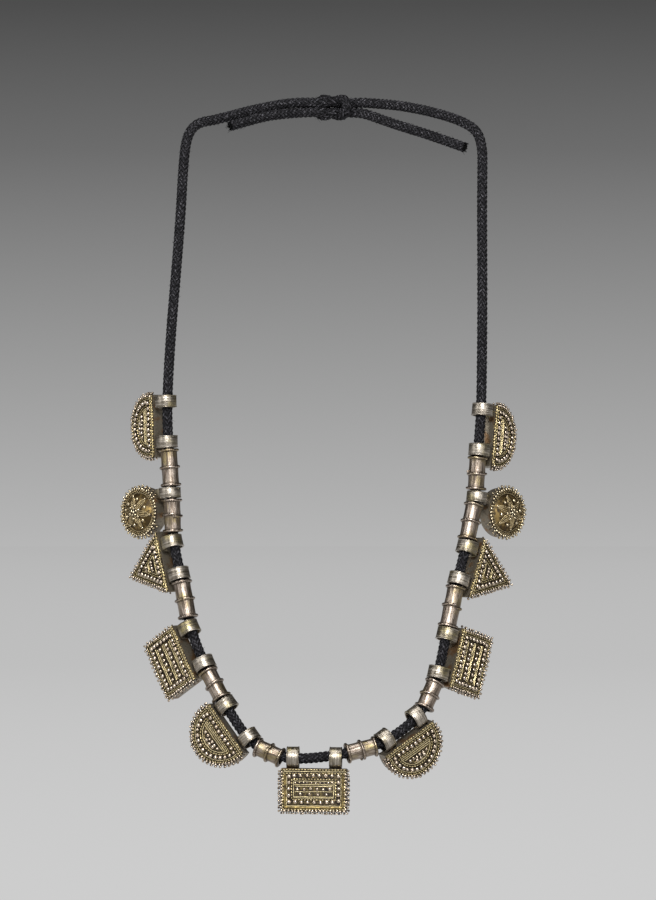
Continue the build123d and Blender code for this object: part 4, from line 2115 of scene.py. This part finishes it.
@dataclass(frozen=True)
class GiltLook(Look):
    """Gilt silver, tarnished and with painted shade in its recesses, and rubbed bright on its tops."""

    # Near black of tarnish and painted shade in the recesses
    recess: Colour = (0.016, 0.0095, 0.0045)
    olive: Colour = (0.23, 0.168, 0.064)
    gold: Colour = (0.41, 0.31, 0.12)
    rubbed: Colour = (0.95, 0.8, 0.47)
    patch: float = 0.3
    blotch: float = 0.6
    grain: float = 2.4
    scratch: float = 7.0
    crevice: float = 0.0012
    bump: float = 0.00007

    def make(self, name: str) -> Material:
        """Makes the material.

        Args:
            name: the material's name.

        Returns:
            The material.
        """
        graph, place, relief = self.begun(name)
        broad = graph.noise(place, self.patch)
        middle = graph.noise(place, self.blotch, 3.0)
        fine = graph.noise(place, self.grain, 4.0, 0.6)
        # Relief with noise: high is rubbed wear, low is tarnish and painted shade at the feet of grains
        # and wires.
        wear_and_shade = relief + (middle - 0.5) * 0.75 + (fine - 0.5) * 0.5
        gold = graph.mix(broad.ramp(0.42, 0.62), self.olive, self.gold)
        metal = graph.mix(wear_and_shade.ramp(0.5, 0.95), gold, self.rubbed)
        # Painted shade in crevices, from ambient occlusion, along with tarnish.
        open_to_air_and_light = graph.crevice(self.crevice).ramp(0.3, 0.88)
        clean_and_lit = open_to_air_and_light * wear_and_shade.ramp(0.04, 0.5)
        height = fine * 0.7 + graph.noise(place, self.scratch, 3.0) * 0.3
        return graph.surface(
            Base_Color=graph.mix(clean_and_lit, self.recess, metal),
            Roughness=0.6 - clean_and_lit * 0.2 + (fine - 0.5) * 0.2,
            Metallic=0.3 + clean_and_lit * 0.65,
            Normal=graph.bump(height, self.bump),
        )


@dataclass(frozen=True)
class GrainLook(Look):
    """Silver granules, rosy grey, with dark tarnish and painted shade where they are soldered."""

    # Near black of tarnish and painted shade where the grains are soldered
    recess: Colour = (0.022, 0.013, 0.008)
    rosy: Colour = (0.23, 0.168, 0.125)
    silver: Colour = (0.58, 0.485, 0.38)
    spot: float = 0.9
    grain: float = 3.5
    crevice: float = 0.0012
    bump: float = 0.00006

    def make(self, name: str) -> Material:
        """Makes the material.

        Args:
            name: the material's name.

        Returns:
            The material.
        """
        graph, place, relief = self.begun(name)
        spots = graph.noise(place, self.spot, 3.0, 0.6)
        fine = graph.noise(place, self.grain, 3.0)
        metal = graph.mix((relief * 0.7 + spots * 0.7).ramp(0.5, 1.0), self.rosy, self.silver)
        # Painted shade in crevices and at the grains' feet, from ambient occlusion and relief, along with
        # tarnish.
        open_to_air_and_light = graph.crevice(self.crevice).ramp(0.35, 0.9)
        clean_and_lit = open_to_air_and_light * (relief + (fine - 0.5) * 0.4).ramp(0.15, 0.75)
        return graph.surface(
            Base_Color=graph.mix(clean_and_lit, self.recess, metal),
            Roughness=0.54 - clean_and_lit * 0.31 + (fine - 0.5) * 0.16,
            Metallic=0.5 + clean_and_lit * 0.45,
            Normal=graph.bump(fine, self.bump),
        )


@dataclass(frozen=True)
class SheetLook(Look):
    """Rolled silver sheet, brushed one way, with traces of its gilding, dirt spots and painted shade."""

    silver: Colour = (0.46, 0.415, 0.355)
    warm: Colour = (0.33, 0.28, 0.15)
    shade: Colour = (0.19, 0.163, 0.125)
    # Dark of the spots of dirt, and of the painted shade in seams and crevices
    darkening: Colour = (0.05, 0.035, 0.02)
    roughness: float = 0.38
    brush: tuple[float, float, float] = (2.6, 0.12, 0.12)
    gilding: tuple[float, float] = (0.5, 0.66)
    patch: float = 0.11
    spot: float = 1.1
    crevice: float = 0.0018
    bump: float = 0.00009

    def make(self, name: str) -> Material:
        """Makes the material.

        Args:
            name: the material's name.

        Returns:
            The material.
        """
        graph, place, relief = self.begun(name)
        broad = graph.noise(place, self.patch)
        spots = graph.noise(place, self.spot, 4.0, 0.62)
        streaks = graph.noise(graph.stretched(place, self.brush), 1.0, 3.0)
        metal = graph.mix(broad.ramp(*self.gilding), self.silver, self.warm)
        base = graph.mix(streaks.ramp(0.38, 0.6), self.shade, metal)
        # Painted shade: crevices, by ambient occlusion, and low relief beside the wires darken the sheet;
        # the spots are real dirt.
        open_to_air_and_light = graph.crevice(self.crevice).ramp(0.35, 0.95)
        shade_and_dirt = (1.0 - relief.ramp(0.1, 0.65) * open_to_air_and_light) * 0.8 + spots.ramp(0.54, 0.74) * 0.4
        rubbed = relief.ramp(0.75, 1.0) * 0.1
        rough = self.roughness - rubbed + (streaks - 0.5) * 0.3 + spots.ramp(0.5, 0.75) * 0.2
        return graph.surface(
            Base_Color=graph.mix(shade_and_dirt, base, self.darkening),
            Roughness=rough,
            Metallic=1.0 - shade_and_dirt * 0.35,
            Normal=graph.bump(streaks * 0.6 + spots * 0.4, self.bump),
        )


@dataclass(frozen=True)
class WallLook(Look):
    """The boxes' plain sheet, brown where the tarnish was never rubbed away."""

    brown: Colour = (0.25, 0.145, 0.07)
    # Painted shade: the grey sheet is kept dark for the shade on the boxes' sides.
    grey: Colour = (0.27, 0.235, 0.18)
    darkening: Colour = (0.07, 0.05, 0.032)
    patch: float = 0.16
    spot: float = 0.9
    bump: float = 0.00009

    def make(self, name: str) -> Material:
        """Makes the material.

        Args:
            name: the material's name.

        Returns:
            The material.
        """
        graph, place, _ = self.begun(name)
        broad = graph.noise(place, self.patch, 3.0)
        spots = graph.noise(place, self.spot, 4.0, 0.6)
        base = graph.mix(broad.ramp(0.36, 0.5), self.brown, self.grey)
        spotted = spots.ramp(0.5, 0.78)
        return graph.surface(
            Base_Color=graph.mix(spotted, base, self.darkening),
            Roughness=0.42 + (spots - 0.5) * 0.4,
            Metallic=0.8 - spotted * 0.3,
            Normal=graph.bump(spots, self.bump),
        )


@dataclass(frozen=True)
class ThreadLook(Look):
    """Dark cotton thread; each bundle shows its fine twisted threads, with painted shade at its edges."""

    # Near black of painted shade between and under the bundles
    deep: Colour = (0.0008, 0.0008, 0.001)
    face: Colour = (0.012, 0.0115, 0.0135)
    dusty: Colour = (0.2, 0.195, 0.215)
    half_width: float = Braid.half_width
    fibre: tuple[float, float, float] = (6.0, 1.1, 1.0)
    lint: tuple[float, float, float] = (1.2, 0.55, 1.0)
    bump: float = 0.00016

    def make(self, name: str) -> Material:
        """Makes the material.

        Args:
            name: the material's name.

        Returns:
            The material.
        """
        graph, place, relief = self.begun(name)
        fibres = graph.noise(graph.stretched(place, self.fibre), 1.0, 3.0)
        lint = graph.noise(graph.stretched(place, self.lint), 1.0, 3.0, 0.6)
        across = graph.node("ShaderNodeSeparateXYZ", {0: place}, "X")
        side = across.maths("ABSOLUTE", across)
        # Painted shade: a bundle's edges, the places where it passes under others, and the core take the
        # near-black colour.
        crown = 1.0 - (side * (1.0 / self.half_width)).ramp(0.25, 0.95)
        face = graph.mix(relief.ramp(0.1, 0.9) * crown, self.deep, self.face)
        dusty = fibres.ramp(0.4, 0.7) * lint.ramp(0.46, 0.68) * crown
        return graph.surface(
            Base_Color=graph.mix(dusty, face, self.dusty),
            Roughness=0.86 + (fibres - 0.5) * 0.15,
            Normal=graph.bump(fibres, self.bump),
            Specular_IOR_Level=0.15,
        )


# The discs have kept more of their gold, and their grains are warmer
GOLDEN = GiltLook(olive=(0.09, 0.058, 0.02), gold=(0.3, 0.205, 0.076), rubbed=(0.74, 0.59, 0.33))
WARM_GRAIN = GrainLook(rosy=(0.21, 0.15, 0.085), silver=(0.64, 0.54, 0.365))
SPOOL_SHEET = SheetLook(
    silver=(0.42, 0.355, 0.3), warm=(0.33, 0.265, 0.14), shade=(0.2, 0.155, 0.12), brush=(1.5, 1.5, 0.14)
)


@dataclass(frozen=True)
class Softbox:
    """A soft rectangular light: its middle, its width and height in metres, and its watts."""

    name: str
    place: tuple[float, float, float]
    size: tuple[float, float]
    watts: float

    def light(self, aim: Vector) -> None:
        """Adds the light to the scene.

        Args:
            aim: the point that it faces.
        """
        data = bpy.data.lights.new(self.name, "AREA")
        data.shape = "RECTANGLE"
        data.size, data.size_y = self.size
        data.energy = self.watts
        obj = linked(self.name, data)
        obj.location = self.place
        obj.rotation_euler = (aim - Vector(self.place)).to_track_quat("-Z", "Y").to_euler()
        obj.visible_camera = False


@dataclass
class Studio:
    """The plain floor and backdrop, the lights and the camera, in metres.

    The tones are glowing greys of painted light, dimmer further out on the floor and higher up the
    backdrop, by share of the floor's reach and of the backdrop's rise, and reach is how far off the
    backdrop stands.
    """

    floor_level: float = -0.45
    reach: float = 14.0
    backdrop_height: float = 9.0
    backdrop_rise: float = 1.5475
    # Glowing greys of painted light, dimmer higher up the backdrop and further out on the floor
    backdrop_painted_light: tuple[tuple[float, float], ...] = ((0.0, 0.47), (0.73, 0.15), (1.0, 0.075))
    floor_painted_light: tuple[tuple[float, float], ...] = ((0.0, 0.63), (0.33, 0.52), (1.0, 0.46))
    camera_place: tuple[float, float, float] = (0.00225, -3.092, -0.17564)
    lens: float = 240.0
    aim: tuple[float, float, float] = (0.0, -0.05, -0.18)
    softboxes: tuple[Softbox, ...] = (
        Softbox("key", (-0.15, -2.25, 0.9), (0.9, 0.6), 58.0),
        Softbox("fill", (1.3, -2.0, 0.2), (0.7, 1.2), 9.0),
        Softbox("side", (-1.9, -1.0, 0.5), (0.7, 1.2), 9.0),
        Softbox("top", (-0.2, -0.6, 1.9), (1.2, 0.8), 20.0),
    )
    even_light: Colour = (0.065, 0.064, 0.062)

    def glowing(self, graph: Graph, tone: Value) -> Material:
        """Ends a graph with a surface that shines in its own tone, so no light changes it."""
        graph.node_output(graph.node("ShaderNodeEmission", {"Color": tone}))
        return graph.material

    def floor(self) -> Object:
        """Makes the floor, a wide pale disc that glows with painted light, dimmer further out.

        Returns:
            The floor.
        """
        deselect_all()
        bpy.ops.mesh.primitive_circle_add(vertices=96, radius=self.reach, fill_type="NGON")
        obj = bpy.context.object
        obj.name = "floor"
        obj.data.transform(Matrix.Translation((0.0, 0.0, self.floor_level)))
        graph = Graph("floor")
        place = graph.node("ShaderNodeTexCoord", None, "Object")
        away = graph.node("ShaderNodeVectorMath", {0: place}, "Value", operation="LENGTH")
        tone = graph.ramp(away * (1.0 / self.reach), self.floor_painted_light)
        obj.data.materials.append(self.glowing(graph, tone))
        return obj

    def backdrop(self) -> Object:
        """Makes the backdrop, a wide cylinder that only the camera sees; its painted light dims upwards.

        Returns:
            The backdrop.
        """
        deselect_all()
        bpy.ops.mesh.primitive_cylinder_add(
            vertices=96, radius=self.reach, depth=self.backdrop_height, end_fill_type="NOTHING"
        )
        obj = bpy.context.object
        obj.name = "backdrop"
        middle = self.floor_level + self.backdrop_height / 2
        obj.data.transform(Matrix.Translation((0.0, 0.0, middle)))
        graph = Graph("backdrop")
        place = graph.node("ShaderNodeTexCoord", None, "Object")
        height = graph.node("ShaderNodeSeparateXYZ", {0: place}, "Z")
        share = (height - self.floor_level) * (1.0 / self.backdrop_rise)
        obj.data.materials.append(self.glowing(graph, graph.ramp(share, self.backdrop_painted_light)))
        for kind in ("diffuse", "glossy", "shadow", "transmission"):
            setattr(obj, "visible_" + kind, False)
        return obj

    def lights(self) -> None:
        """Adds the studio's softboxes and its even light."""
        for softbox in self.softboxes:
            softbox.light(Vector(self.aim))
        world = bpy.data.worlds.new("studio")
        world.use_nodes = True
        world.node_tree.nodes["Background"].inputs["Color"].default_value = (*self.even_light, 1.0)
        bpy.context.scene.world = world

    def camera(self) -> None:
        """Places the camera where the photograph was taken from, level and without a shift."""
        data = bpy.data.cameras.new("camera")
        data.sensor_width = 36.0
        data.lens = self.lens
        data.clip_start = 0.05
        data.clip_end = 60.0
        obj = linked("camera", data)
        obj.location = self.camera_place
        obj.rotation_euler = (math.pi / 2, 0.0, 0.0)
        bpy.context.scene.camera = obj

    def build(self) -> None:
        """Builds the whole studio."""
        self.camera()
        self.lights()
        self.floor()
        self.backdrop()
        bpy.context.scene.view_settings.view_transform = "Standard"


def spool_name(index: int) -> str:
    """Names the spool bead after the case of this number; they are counted from both ends."""
    half = (len(SEATS) - 1) // 2
    return f"spool_left_{index + 1}" if index < half else f"spool_right_{len(SEATS) - 1 - index}"


def hand_over(piece: Object, node: str, body: str) -> None:
    """Lets a piece stand for a solid.

    Args:
        piece: the finished piece.
        node: the solid that it hides.
        body: the body that it rides on.
    """
    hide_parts(node)
    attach(piece, body)
    LOG.info("%s stands for %s on %s", piece.name, node, body)


def main() -> None:
    """Builds the studio, the cord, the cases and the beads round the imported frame."""
    logging.basicConfig(level=logging.INFO, format="%(message)s")
    noise.seed_set(SEED)
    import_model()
    Studio().build()
    looks = {
        Finish.GILT: GiltLook().make("gilt_plate"),
        Finish.GRAIN: GrainLook().make("silver_grain"),
        Finish.BAND: SheetLook().make("loop_sheet"),
        Finish.WALL: WallLook().make("box_sheet"),
    }
    disc_looks = {
        **looks,
        Finish.GILT: GOLDEN.make("golden_plate"),
        Finish.GRAIN: WARM_GRAIN.make("warm_grain"),
    }
    spool_looks = {Finish.BAND: SPOOL_SHEET.make("spool_sheet")}
    cord = Cord(ThreadLook().make("cord_thread"))
    pieces = cord.build()
    for name, piece in pieces.items():
        hand_over(piece, name, "necklace")
    cord.declare_ends()
    cases = Cases(looks, disc_looks)
    for index, seat in enumerate(SEATS):
        body = "centre_case" if seat.name == "tablet_centre" else "necklace"
        hand_over(cases.place(seat, index), seat.name, body)
    for index, (before, after) in enumerate(zip(SEATS, SEATS[1:])):
        name = spool_name(index)
        bead = SpoolBead(name, before.last, before, after, index)
        hand_over(bead.build(spool_looks), name, "necklace")
    LOG.info("necklace built")


if __name__ == "__main__":
    main()
